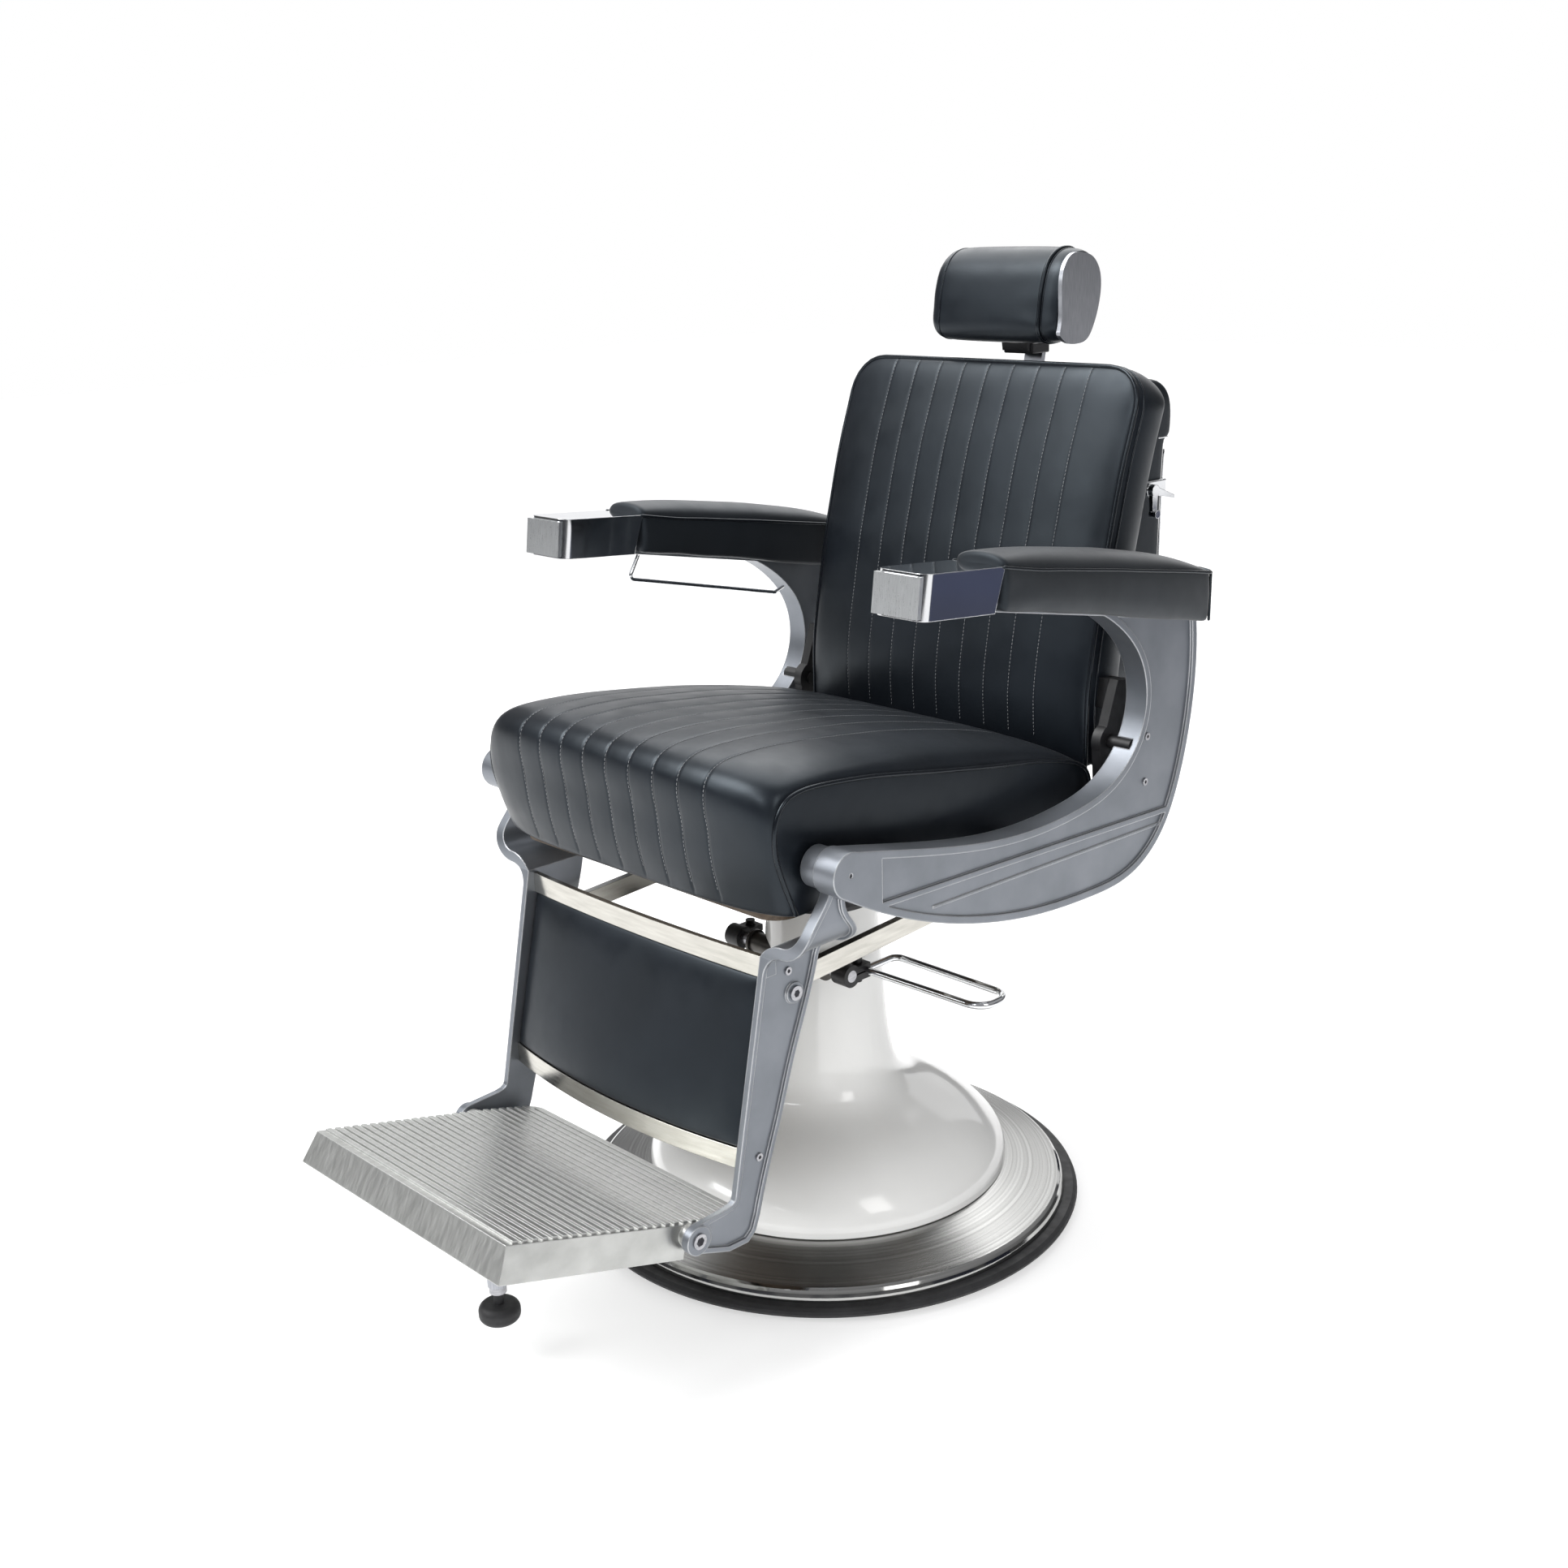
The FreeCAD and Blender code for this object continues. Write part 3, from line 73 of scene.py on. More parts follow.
def make_camera():
    """A three-quarter view from the front on the sitter's left, a little above the seat."""
    azimuth, pitch, roll = (math.radians(angle) for angle in (AZIMUTH, PITCH, ROLL))
    ahead = Vector((-math.sin(azimuth), math.cos(azimuth), 0))
    forward = ahead * math.cos(pitch) - Vector((0, 0, math.sin(pitch)))
    level = Vector((math.cos(azimuth), math.sin(azimuth), 0))
    above = level.cross(forward)
    right = math.cos(roll) * level + math.sin(roll) * above
    up = -math.sin(roll) * level + math.cos(roll) * above
    data = bpy.data.cameras.new("camera")
    data.lens = LENS
    data.sensor_width = SENSOR_WIDTH
    camera = linked("camera", data)
    turn = Matrix((right, up, -forward)).transposed().to_4x4()
    camera.matrix_world = Matrix.Translation(CAMERA_PLACE) @ turn
    scene.camera = camera


def lamp(name, kind, power, towards):
    """A lamp that shines in a direction."""
    made = linked(name, bpy.data.lights.new(name, kind))
    made.data.energy = power
    made.rotation_mode = "QUATERNION"
    made.rotation_quaternion = Vector(towards).to_track_quat("-Z", "Y")
    return made


def softbox(name, place, target, width, height, power, tint=(1, 1, 1), mirrored=True):
    """A square lamp aimed at a point; one that isn't mirrored lights paint but doesn't show in metal."""
    made = lamp(name, "AREA", power, Vector(target) - Vector(place))
    made.location = place
    made.visible_glossy = mirrored
    made.data.shape = "RECTANGLE"
    made.data.size = width
    made.data.size_y = height
    made.data.color = tint


def sheet(name, centre, size, height):
    """A flat level rectangle with a material of its own; gives the object, its node tree and its shader."""
    corners = [(centre[0] + a * size[0] / 2, centre[1] + b * size[1] / 2, height)
               for a, b in ((-1, -1), (1, -1), (1, 1), (-1, 1))]
    mesh = bpy.data.meshes.new(name)
    mesh.from_pydata(corners, [], [(0, 1, 2, 3)])
    material, tree, shader = new_material(name + "_paint")
    mesh.materials.append(material)
    return linked(name, mesh), tree, shader


def flag(name, centre, size, shade):
    """A matt card lying on the floor outside the view, for upright metal faces to mirror."""
    card, tree, shader = sheet(name, centre, size, CARD_HEIGHT)
    paler = tuple(min(1.0, 1.6 * level) for level in shade)
    tree.links.new(tinted(tree, noise(tree, 1.6, 2.0), shade, paler), shader.inputs["Emission Color"])
    fix(shader, {"Base Color": (0.02, 0.02, 0.02, 1), "Emission Strength": 1.0})
    for ray in ("camera", "diffuse", "shadow"):
        setattr(card, "visible_" + ray, False)


def make_floor():
    """A matt pale floor that glows a little, so that it stays as light as the background."""
    floor, tree, shader = sheet("floor", (0, 0), (FLOOR_SIDE, FLOOR_SIDE), 0)
    paint = tinted(tree, noise(tree, 0.7), (0.58, 0.58, 0.58), (0.62, 0.62, 0.62))
    tree.links.new(paint, shader.inputs["Base Color"])
    fix(shader, {"Roughness": 0.9, "Specular IOR Level": 0.1, "Emission Color": (1, 1, 1, 1),
                 "Emission Strength": FLOOR_GLOW})
    floor.location = (0, 0, -FLOOR_DROP)


def make_world():
    """A pale room: bright above, with greyer walls that give the metal something to mirror."""
    world = bpy.data.worlds.new("studio")
    world.use_nodes = True
    scene.world = world
    tree = world.node_tree
    tree.nodes.clear()
    split = node(tree, "SeparateXYZ")
    tree.links.new(node(tree, "TexCoord").outputs["Generated"], split.inputs[0])
    ramp = node(tree, "ValToRGB")
    tree.links.new(ranged(tree, split.outputs["Z"], 0.0, 1.0, (-1.0, 1.0)), ramp.inputs[0])
    while len(ramp.color_ramp.elements) < len(ROOM_LEVELS):
        ramp.color_ramp.elements.new(0.5)
    for element, (position, level) in zip(ramp.color_ramp.elements, ROOM_LEVELS):
        element.position = position
        element.color = (level, level, level * 1.02, 1)
    room = node(tree, "Background", {"Strength": ROOM_STRENGTH})
    tree.links.new(blended(tree, walls(tree, split), ramp.outputs[0], ROOM_DARK), room.inputs["Color"])
    pale = node(tree, "Background", {"Color": (1, 1, 1, 1), "Strength": 1.0})
    mix = node(tree, "MixShader")
    tree.links.new(node(tree, "LightPath").outputs["Is Camera Ray"], mix.inputs[0])
    tree.links.new(room.outputs[0], mix.inputs[1])
    tree.links.new(pale.outputs[0], mix.inputs[2])
    tree.links.new(mix.outputs[0], node(tree, "OutputWorld").inputs["Surface"])


def walls(tree, split):
    """How dark the room is in each direction: a few upright bands, low down, that metal can mirror."""
    around = node(tree, "Math", operation="ARCTAN2")
    tree.links.new(split.outputs["Y"], around.inputs[0])
    tree.links.new(split.outputs["X"], around.inputs[1])
    both = node(tree, "Math", operation="MULTIPLY")
    bands = wavy(tree, around.outputs[0], 2.6, 1.0)
    tree.links.new(ranged(tree, bands, 0.0, 0.85, (0.48, 0.56)), both.inputs[0])
    tree.links.new(ranged(tree, split.outputs["Z"], 1.0, 0.0, (0.15, 0.45)), both.inputs[1])
    return both.outputs[0]


def make_lights():
    """Lamps around the chair, aimed at points of it, in metres and watts, and two cards on the floor."""
    lamp("sun", "SUN", 2.6, (0.42, 0.55, -0.85)).data.angle = math.radians(34)
    softbox("front_left", (-1.8, -2.9, 2.3), (0, 0, 0.7), 1.3, 1.3, power=19, tint=(0.97, 0.99, 1.0))
    softbox("front_right", (2.9, -0.6, 2.6), (0, 0, 0.7), 0.9, 1.5, power=16, tint=(1.0, 0.99, 0.97))
    softbox("front_high", (0.7, -2.6, 2.9), (0, 0.2, 0.9), 0.9, 0.9, power=15)
    softbox("fill", (2.4, -2.9, 0.8), (0, 0, 0.3), 2.6, 1.1, power=52, mirrored=False)
    softbox("behind", (-2.2, 3.4, 1.9), (0, 0, 0.9), 5.0, 2.4, power=36)
    softbox("above", (-1.1, 1.3, 3.3), (0, 0, 0.6), 3.2, 3.2, power=84)
    flag("front_flag", (-3.6, -3.6), (5.0, 3.0), (0.78, 0.79, 0.80))
    flag("side_flag", (3.6, 3.4), (3.6, 4.0), (0.008, 0.014, 0.045))


# ---- materials ----------------------------------------------------------------------
def fix(part, values):
    """Gives sockets of a shader node their fixed values."""
    for socket, value in values.items():
        part.inputs[socket].default_value = value


def node(tree, kind, values=None, **settings):
    """A new shader node with its settings and the fixed values of its sockets."""
    made = tree.nodes.new("ShaderNode" + kind)
    for name, setting in settings.items():
        setattr(made, name, setting)
    fix(made, values or {})
    return made


def new_material(name):
    material = bpy.data.materials.new(name)
    material.use_nodes = True
    tree = material.node_tree
    return material, tree, tree.nodes["Principled BSDF"]


def noise(tree, scale, detail=3.0, stretch=(1, 1, 1)):
    """A noise texture in the object's own coordinates; scale is in waves per metre."""
    mapping = node(tree, "Mapping", {"Scale": stretch})
    tree.links.new(node(tree, "TexCoord").outputs["Object"], mapping.inputs[0])
    texture = node(tree, "TexNoise", {"Scale": scale, "Detail": detail})
    tree.links.new(mapping.outputs[0], texture.inputs["Vector"])
    return texture.outputs["Fac"]


def cells(tree, scale):
    """Small rounded cells, like the grain of leatherette."""
    texture = node(tree, "TexVoronoi", {"Scale": scale})
    tree.links.new(node(tree, "TexCoord").outputs["Object"], texture.inputs["Vector"])
    return texture.outputs["Distance"]


def wavy(tree, factor, scale, detail):
    """A noise texture along one number."""
    texture = node(tree, "TexNoise", {"Scale": scale, "Detail": detail}, noise_dimensions="1D")
    tree.links.new(factor, texture.inputs["W"])
    return texture.outputs["Fac"]


def ranged(tree, factor, low, high, span=NOISE_SPAN):
    """Turns a factor into a number between low and high, as it runs over its span."""
    made = node(tree, "MapRange", {"From Min": span[0], "From Max": span[1], "To Min": low, "To Max": high})
    tree.links.new(factor, made.inputs["Value"])
    return made.outputs["Result"]


def tinted(tree, factor, dark, light):
    """Turns a noise factor into a colour between two colours."""
    ramp = node(tree, "ValToRGB")
    first, last = ramp.color_ramp.elements
    first.position, last.position = NOISE_SPAN
    first.color = (*dark, 1)
    last.color = (*light, 1)
    tree.links.new(factor, ramp.inputs[0])
    return ramp.outputs[0]


def bump(tree, height, strength, depth_mm, below=None):
    """Small unevenness of the surface, on top of the normal below."""
    made = node(tree, "Bump", {"Strength": strength, "Distance": depth_mm * MM})
    tree.links.new(height, made.inputs["Height"])
    if below is not None:
        tree.links.new(below, made.inputs["Normal"])
    return made.outputs["Normal"]


def soft_edges(tree, radius_mm):
    """Rounds the look of sharp edges, as casting and polishing leave them."""
    return node(tree, "Bevel", {"Radius": radius_mm * MM}, samples=4).outputs["Normal"]


def edge_wear_and_highlight(tree, rounded):
    """How far a point is on an edge, where edges get wear and a painted highlight: the rounded normal leaves
    the flat one there.
    """
    dot = node(tree, "VectorMath", operation="DOT_PRODUCT")
    tree.links.new(rounded, dot.inputs[0])
    tree.links.new(node(tree, "NewGeometry").outputs["Normal"], dot.inputs[1])
    return ranged(tree, dot.outputs["Value"], 1.0, 0.0, (0.8, 1.0))


def blended(tree, factor, one, two):
    """Mixes two colours, each a fixed one or the output of a node."""
    mix = node(tree, "Mix", data_type="RGBA")
    tree.links.new(factor, mix.inputs["Factor"])
    for socket, colour in (("A", one), ("B", two)):
        target = [s for s in mix.inputs if s.name == socket and s.type == "RGBA"][0]
        if isinstance(colour, tuple):
            target.default_value = (*colour, 1)
        else:
            tree.links.new(colour, target)
    return [s for s in mix.outputs if s.type == "RGBA"][0]


def leather(name, dark, light, rough_low, rough_high, sheen=0.02):
    """Smooth upholstery leatherette: fine grain, soft wrinkling, uneven sheen."""
    material, tree, shader = new_material(name)
    tree.links.new(tinted(tree, noise(tree, 9.0, 5.0), dark, light), shader.inputs["Base Color"])
    tree.links.new(ranged(tree, noise(tree, 26.0, 6.0), rough_low, rough_high), shader.inputs["Roughness"])
    fix(shader, {"Specular IOR Level": 0.42, "Specular Tint": (0.78, 0.90, 1.0, 1), "Sheen Weight": sheen,
                 "Sheen Roughness": 0.4})
    wrinkles = bump(tree, noise(tree, 42.0, 4.0), 0.25, 0.6)
    grain = bump(tree, cells(tree, 1100.0), 0.16, 0.12, wrinkles)
    tree.links.new(grain, shader.inputs["Normal"])
    return material


def metal(name, dark, light, rough, wave=40.0, stretch=(1, 1, 1), edge=0.0, worn=None, dimple=0.02,
          metallic=1.0):
    """A metal with uneven polish; edge rounds its corners in mm, and the pale edge colour marks them with
    wear and a painted highlight.
    """
    material, tree, shader = new_material(name)
    shader.inputs["Metallic"].default_value = metallic
    colour = tinted(tree, noise(tree, wave, 4.0, stretch), dark, light)
    tree.links.new(ranged(tree, noise(tree, wave * 1.7, 5.0, stretch), *rough), shader.inputs["Roughness"])
    normal = None
    if edge > 0:
        normal = soft_edges(tree, edge)
        if worn is not None:
            # Paler edges: wear, and a painted highlight along the rims.
            colour = blended(tree, edge_wear_and_highlight(tree, normal), colour, worn)
    tree.links.new(colour, shader.inputs["Base Color"])
    dents = bump(tree, noise(tree, wave * 4.0, 3.0, stretch), dimple, 0.3, normal)
    tree.links.new(dents, shader.inputs["Normal"])
    return material


def coated(name, dark, light, rough, wave=30.0, coat=0.0, edge=0.0, grain=0.0):
    """Paint, enamel, plastic or rubber; edge rounds its corners in mm."""
    material, tree, shader = new_material(name)
    fix(shader, {"Coat Weight": coat, "Coat Roughness": 0.04})
    tree.links.new(tinted(tree, noise(tree, wave, 4.0), dark, light), shader.inputs["Base Color"])
    tree.links.new(ranged(tree, noise(tree, wave * 3.0, 4.0), *rough), shader.inputs["Roughness"])
    normal = soft_edges(tree, edge) if edge > 0 else None
    tree.links.new(bump(tree, noise(tree, 900.0, 3.0), grain, 0.15, normal), shader.inputs["Normal"])
    return material


def wood(name):
    """Plywood with its grain along the object's x."""
    material, tree, shader = new_material(name)
    along = (1, 14, 14)
    grain = tinted(tree, noise(tree, 30.0, 6.0, along), (0.055, 0.038, 0.025), (0.11, 0.08, 0.055))
    tree.links.new(grain, shader.inputs["Base Color"])
    shader.inputs["Roughness"].default_value = 0.6
    tree.links.new(bump(tree, noise(tree, 60.0, 4.0, along), 0.2, 0.2), shader.inputs["Normal"])
    return material


def thread(name):
    """Sewing thread, paler than the leatherette."""
    material, tree, shader = new_material(name)
    fibres = tinted(tree, noise(tree, 700.0, 2.0), (0.14, 0.145, 0.155), (0.27, 0.28, 0.29))
    tree.links.new(fibres, shader.inputs["Base Color"])
    shader.inputs["Roughness"].default_value = 0.55
    tree.links.new(bump(tree, noise(tree, 2500.0, 2.0), 0.4, 0.1), shader.inputs["Normal"])
    return material


LEATHER = leather("black_leatherette", (0.0030, 0.0040, 0.0060), (0.0062, 0.0080, 0.0115), 0.31, 0.42)
PIPING = leather("piping_leatherette", (0.0028, 0.0034, 0.0050), (0.0055, 0.0066, 0.0090), 0.20, 0.28)
# A lit copy of the leatherette for the arm pads: a little lighter and with more sheen, as painted light on
# their tops.
LIT_PAD_LEATHER = leather("arm_leatherette_lit", (0.0034, 0.0044, 0.0062), (0.0068, 0.0086, 0.0120), 0.44, 0.54,
                      sheen=0.25)
THREAD = thread("pale_thread")
# Finishes for the material slots of the CAD model: darkest and lightest colour, roughness, and the rest.
COATINGS = {
    "black_rubber": ((0.012, 0.012, 0.013), (0.022, 0.022, 0.024), (0.5, 0.65), {"grain": 0.3}),
    "white_enamel": ((0.79, 0.79, 0.775), (0.84, 0.84, 0.825), (0.13, 0.2),
        {"wave": 5.0, "coat": 0.6, "edge": 1.5}),
    "black_plastic": ((0.014, 0.014, 0.016), (0.024, 0.024, 0.026), (0.35, 0.5),
        {"edge": 1.0, "grain": 0.15}),
    # black_metal: black paint made darker still as painted shade, so the back lever and its pins sit dark in
    # shadow.
    "black_metal": ((0.004, 0.004, 0.005), (0.009, 0.009, 0.010), (0.42, 0.55), {"edge": 1.0, "grain": 0.12}),
}
METALS = {
    "polished_chrome": ((0.74, 0.75, 0.77), (0.82, 0.83, 0.84), (0.045, 0.09),
        {"wave": 14.0, "edge": 1.2, "dimple": 0.01}),
    "plain_steel": ((0.36, 0.36, 0.38), (0.5, 0.5, 0.52), (0.25, 0.4),
        {"wave": 80.0, "edge": 0.8, "stretch": (1, 1, 6)}),
    # Its pale edge colour is wear and a painted highlight on the rims.
    "silver_paint": ((0.185, 0.20, 0.222), (0.23, 0.245, 0.272), (0.32, 0.40),
        {"wave": 16.0, "edge": 2.6, "worn": (0.72, 0.73, 0.75), "metallic": 0.7, "dimple": 0.04}),
    "satin_aluminium": ((0.36, 0.37, 0.40), (0.47, 0.48, 0.51), (0.28, 0.36),
        {"wave": 60.0, "stretch": (1, 14, 1), "dimple": 0.0}),
    # Its pale edge colour is wear and a painted highlight on the rims.
    "cast_aluminium": ((0.45, 0.455, 0.44), (0.55, 0.555, 0.54), (0.30, 0.40),
        {"wave": 30.0, "edge": 1.4, "stretch": (6, 1, 1), "worn": (0.84, 0.84, 0.83),
         "dimple": 0.04, "metallic": 0.9}),
    "rail_steel": ((0.50, 0.485, 0.445), (0.60, 0.585, 0.54), (0.15, 0.24),
        {"wave": 22.0, "edge": 1.0, "stretch": (1, 1, 9)}),
    "bronze": ((0.055, 0.051, 0.047), (0.10, 0.095, 0.088), (0.3, 0.45), {"edge": 0.6}),
}
FINISHES = {"plywood": wood("plywood")}
for make, looks in ((coated, COATINGS), (metal, METALS)):
    FINISHES.update((slot, make(slot, *look, **more)) for slot, (*look, more) in looks.items())
DISH_SHOULDER = 0.316  # where the dish's turned cone meets its polished shoulder, metres from the axis


def dish_chrome():
    """The pressed dish: satin, turned by hand on the cone, and polished on the shoulder."""
    material, tree, shader = new_material("dish_chrome")
    shader.inputs["Metallic"].default_value = 1.0
    flat = node(tree, "VectorMath", operation="MULTIPLY")
    flat.inputs[1].default_value = (1, 1, 0)
    tree.links.new(node(tree, "TexCoord").outputs["Object"], flat.inputs[0])
    length = node(tree, "VectorMath", operation="LENGTH")
    tree.links.new(flat.outputs[0], length.inputs[0])
    radius = length.outputs["Value"]
    rings = tinted(tree, wavy(tree, radius, 260.0, 4.0), (0.38, 0.38, 0.37), (0.52, 0.52, 0.51))
    tree.links.new(rings, shader.inputs["Base Color"])
    shoulder = (DISH_SHOULDER - 0.002, DISH_SHOULDER + 0.001)
    tree.links.new(ranged(tree, radius, 0.27, 0.07, shoulder), shader.inputs["Roughness"])
    tree.links.new(bump(tree, noise(tree, 30.0), 0.01, 0.3, soft_edges(tree, 1.2)), shader.inputs["Normal"])
    return material


# Nodes that don't look like the rest of their slot.
NODE_FINISHES = {
    "base_dish": dish_chrome(),
    "leg_fasteners": FINISHES["plain_steel"],
    "casting_screws": FINISHES["plain_steel"],
    "arm_face_plates": metal("face_aluminium", (0.62, 0.635, 0.645), (0.72, 0.735, 0.745), (0.26, 0.34),
                             wave=60.0, stretch=(14, 1, 1), dimple=0.0),
}


def finish_cad_nodes():
    """Every carried CAD node gets the finish of its slot, or its own; what has neither is upholstery."""
    for part in frame["record"]["subparts"]:
        finish = NODE_FINISHES.get(part["node"]) or FINISHES.get(part["material_slot"], LEATHER)
        slots = nodes[part["node"]].data.materials
        slots.clear()
        slots.append(finish)


# ---- lines --------------------------------------------------------------------------
def spline_at(points, steps):
    """A smooth curve through the points, read at steps from 0 to the last point's number."""
    given = np.array(points, float)
    padded = np.vstack([2 * given[0] - given[1], given, 2 * given[-1] - given[-2]])
    index = np.clip(np.floor(steps).astype(int), 0, len(given) - 2)
    part = (np.asarray(steps, float) - index)[:, None]
    a, b, c, d = (padded[index + shift] for shift in range(4))
    return 0.5 * (2 * b + (c - a) * part + (2 * a - 5 * b + 4 * c - d) * part ** 2
                  + (3 * b - a - 3 * c + d) * part ** 3)


def lengths_along(line):
    """The length run from the start of a line to each of its points."""
    return np.concatenate([[0], np.cumsum(np.linalg.norm(np.diff(line, axis=0), axis=1))])


def points_at(line, run, places):
    """The line, or anything given along it, read at places on a scale that gives each of its points."""
    return np.stack([np.interp(places, run, line[:, axis]) for axis in range(line.shape[1])], 1)


def even_steps(points, spacing):
    """The steps along a spline that are evenly spaced in length."""
    steps = np.linspace(0, len(points) - 1, 60 * len(points))
    run = lengths_along(spline_at(points, steps))
    count = max(2, int(round(run[-1] / spacing)))
    return np.interp(np.linspace(0, run[-1], count + 1), run, steps)


def even_line(points, spacing):
    """The spline through the points, in steps of even length."""
    return spline_at(points, even_steps(points, spacing))


def closed_line(points, count):
    """An evenly spaced closed curve through points."""
    around = [points[-1], *points, *points[:3]]
    line = spline_at(around, np.linspace(1, len(points) + 1, 2000))
    run = lengths_along(line)
    return points_at(line, run, np.linspace(0, run[-1], count + 1)[:-1])


# ---- mesh helpers -------------------------------------------------------------------
COVER_CLOTH = {"quality": 5, "mass": 0.3, "tension_stiffness": 15.0, "compression_stiffness": 15.0,
               "shear_stiffness": 7.5, "bending_stiffness": 0.8, "use_pressure": True}
PUFF_FRAMES = 20
TUBE_SIDES = 8
PIPING_RADIUS = 3.0
STITCH_LENGTH, STITCH_GAP, STITCH_RADIUS, STITCH_SIDES = 3.6, 1.4, 0.42, 5
# Along one stitch: the share of its length, then its height above the cover and its thickness in radii.
STITCH_PROFILE = np.array([(0, -0.32, 0.35), (0.2, 0.72, 0.95), (0.5, 0.96, 1.0), (0.8, 0.72, 0.95),
                           (1.0, -0.32, 0.35)])


def object_from(net, name):
    """Turns a finished net into a smooth-shaded object in the scene."""
    bmesh.ops.recalc_face_normals(net, faces=net.faces)
    mesh = bpy.data.meshes.new(name)
    net.to_mesh(mesh)
    net.free()
    mesh.polygons.foreach_set("use_smooth", [True] * len(mesh.polygons))
    return linked(name, mesh)


def mesh_object(name, grids, closed=False):
    """One mesh from grids of points in mm that share their edges; closed joins the ends of each row."""
    net = bmesh.new()
    for grid in grids:
        rows, columns = grid.shape[:2]
        corner = [[net.verts.new(Vector(grid[r, c]) * MM) for c in range(columns)] for r in range(rows)]
        for r in range(rows - 1):
            for c in range(columns if closed else columns - 1):
                after = (c + 1) % columns
                net.faces.new((corner[r][c], corner[r][after], corner[r + 1][after], corner[r + 1][c]))
    bmesh.ops.remove_doubles(net, verts=net.verts, dist=0.03 * MM)
    bmesh.ops.dissolve_degenerate(net, edges=net.edges, dist=0.01 * MM)
    return object_from(net, name)


def closed_ends(rings, shares):
    """Closes both ends of a row of rings by smaller and smaller rings, each a share of the one before."""
    for end in (0, -1):
        centre = rings[end].mean(0)
        for share in shares:
            smaller = centre + (rings[end] - centre) * share
            rings = [smaller] + rings if end == 0 else rings + [smaller]
    return np.array(rings)


def vectors(items, field):
    """One vector for each item of a mesh's list."""
    found = np.zeros(len(items) * 3, np.float32)
    items.foreach_get(field, found)
    return found.reshape(-1, 3).astype(float)


def points_of(made):
    """The corners of a mesh, in mm."""
    return vectors(made.data.vertices, "co") / MM


def set_points(made, points):
    made.data.vertices.foreach_set("co", (points * MM).astype(np.float32).ravel())
    made.data.update()


def puff(made, seams, pressure, cap):
    """Swells a cover between its seams by cloth simulation. No point moves further than cap."""
    start = points_of(made)
    fixed = np.concatenate([np.reshape(part, (-1, 3)) for part in seams])
    tree = KDTree(len(fixed))
    for number, point in enumerate(fixed):
        tree.insert(Vector(point), number)
    tree.balance()
    held = [number for number, point in enumerate(start) if tree.find(Vector(point))[2] < 0.1]
    group = made.vertex_groups.new(name="held")
    group.add(held, 1.0, "REPLACE")
    cloth = made.modifiers.new("Cloth", "CLOTH")
    for setting, value in COVER_CLOTH.items():
        setattr(cloth.settings, setting, value)
    cloth.settings.vertex_group_mass = "held"
    cloth.settings.uniform_pressure_force = pressure
    cloth.settings.effector_weights.gravity = 0
    cloth.collision_settings.use_collision = False
    cloth.point_cache.frame_start = 1
    cloth.point_cache.frame_end = PUFF_FRAMES
    for number in range(1, PUFF_FRAMES + 1):
        scene.frame_set(number)
    shape = made.evaluated_get(bpy.context.evaluated_depsgraph_get()).data
    moved = vectors(shape.vertices, "co") / MM - start
    made.modifiers.remove(cloth)
    made.vertex_groups.remove(group)
    scene.frame_set(1)
    length = np.linalg.norm(moved, axis=1)
    limit = cap * np.tanh(length / cap) / np.maximum(length, 1e-9)
    set_points(made, start + moved * limit[:, None])


def refine(made):
    """One level of subdivision, kept in the mesh."""
    made.modifiers.new("Subdivision", "SUBSURF").levels = 1
    made.modifiers["Subdivision"].render_levels = 1
    bake_modifiers(made)


def bake_modifiers(made):
    bpy.context.view_layer.update()
    graph = bpy.context.evaluated_depsgraph_get()
    made.data = bpy.data.meshes.new_from_object(made.evaluated_get(graph))
    made.modifiers.clear()
    made.data.polygons.foreach_set("use_smooth", [True] * len(made.data.polygons))


def surface_of(*objects):
    """A tree for finding the nearest place on finished covers, in mm."""
    corners, faces = [], []
    for made in objects:
        base = len(corners)
        corners.extend(Vector(p) for p in points_of(made))
        faces.extend([base + v for v in p.vertices] for p in made.data.polygons)
    return BVHTree.FromPolygons(corners, faces)


def laid_on(surface, line, lift):
    """The line moved onto the surface, with its centre lift above it."""
    placed = []
    for point in line:
        place, normal, _, _ = surface.find_nearest(Vector(point))
        placed.append(np.array(place + normal * lift))
    return np.array(placed)


def tube(name, line, radius, material, body, closed=False, spacing=4.0):
    """A cord of piping or a wire along a line, in mm, with rounded ends unless it is closed."""
    if closed:
        line = np.vstack([line, line[:1]])
    run = lengths_along(line)
    count = max(3, int(round(run[-1] / spacing)))
    path = points_at(line, run, np.linspace(0, run[-1], count + 1))
    if closed:
        path = path[:-1]
        along = np.roll(path, -1, 0) - np.roll(path, 1, 0)
    else:
        along = np.gradient(path, axis=0)
    along /= np.linalg.norm(along, axis=1)[:, None]
    angles = 2 * np.pi * np.arange(TUBE_SIDES) / TUBE_SIDES
    side = np.cross(along[0], (0.3, 0.2, 0.93))
    rings = []
    for centre, direction in zip(path, along):
        side = side - direction * np.dot(side, direction)
        side = side / np.linalg.norm(side)
        other = np.cross(direction, side)
        rings.append(centre + radius * (np.cos(angles)[:, None] * side + np.sin(angles)[:, None] * other))
    if closed:
        rings.append(rings[0])
    else:
        for end, outward in ((0, -along[0]), (-1, along[-1])):
            spokes = rings[end] - path[end]
            dome = [path[end] + spokes * 0.7 + outward * radius * 0.7,
                    path[end] + spokes * 0.001 + outward * radius]
            rings = dome[::-1] + rings if end == 0 else rings + dome
    made = mesh_object(name, [np.array(rings)], closed=True)
    made.data.materials.append(material)
    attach(made, body)


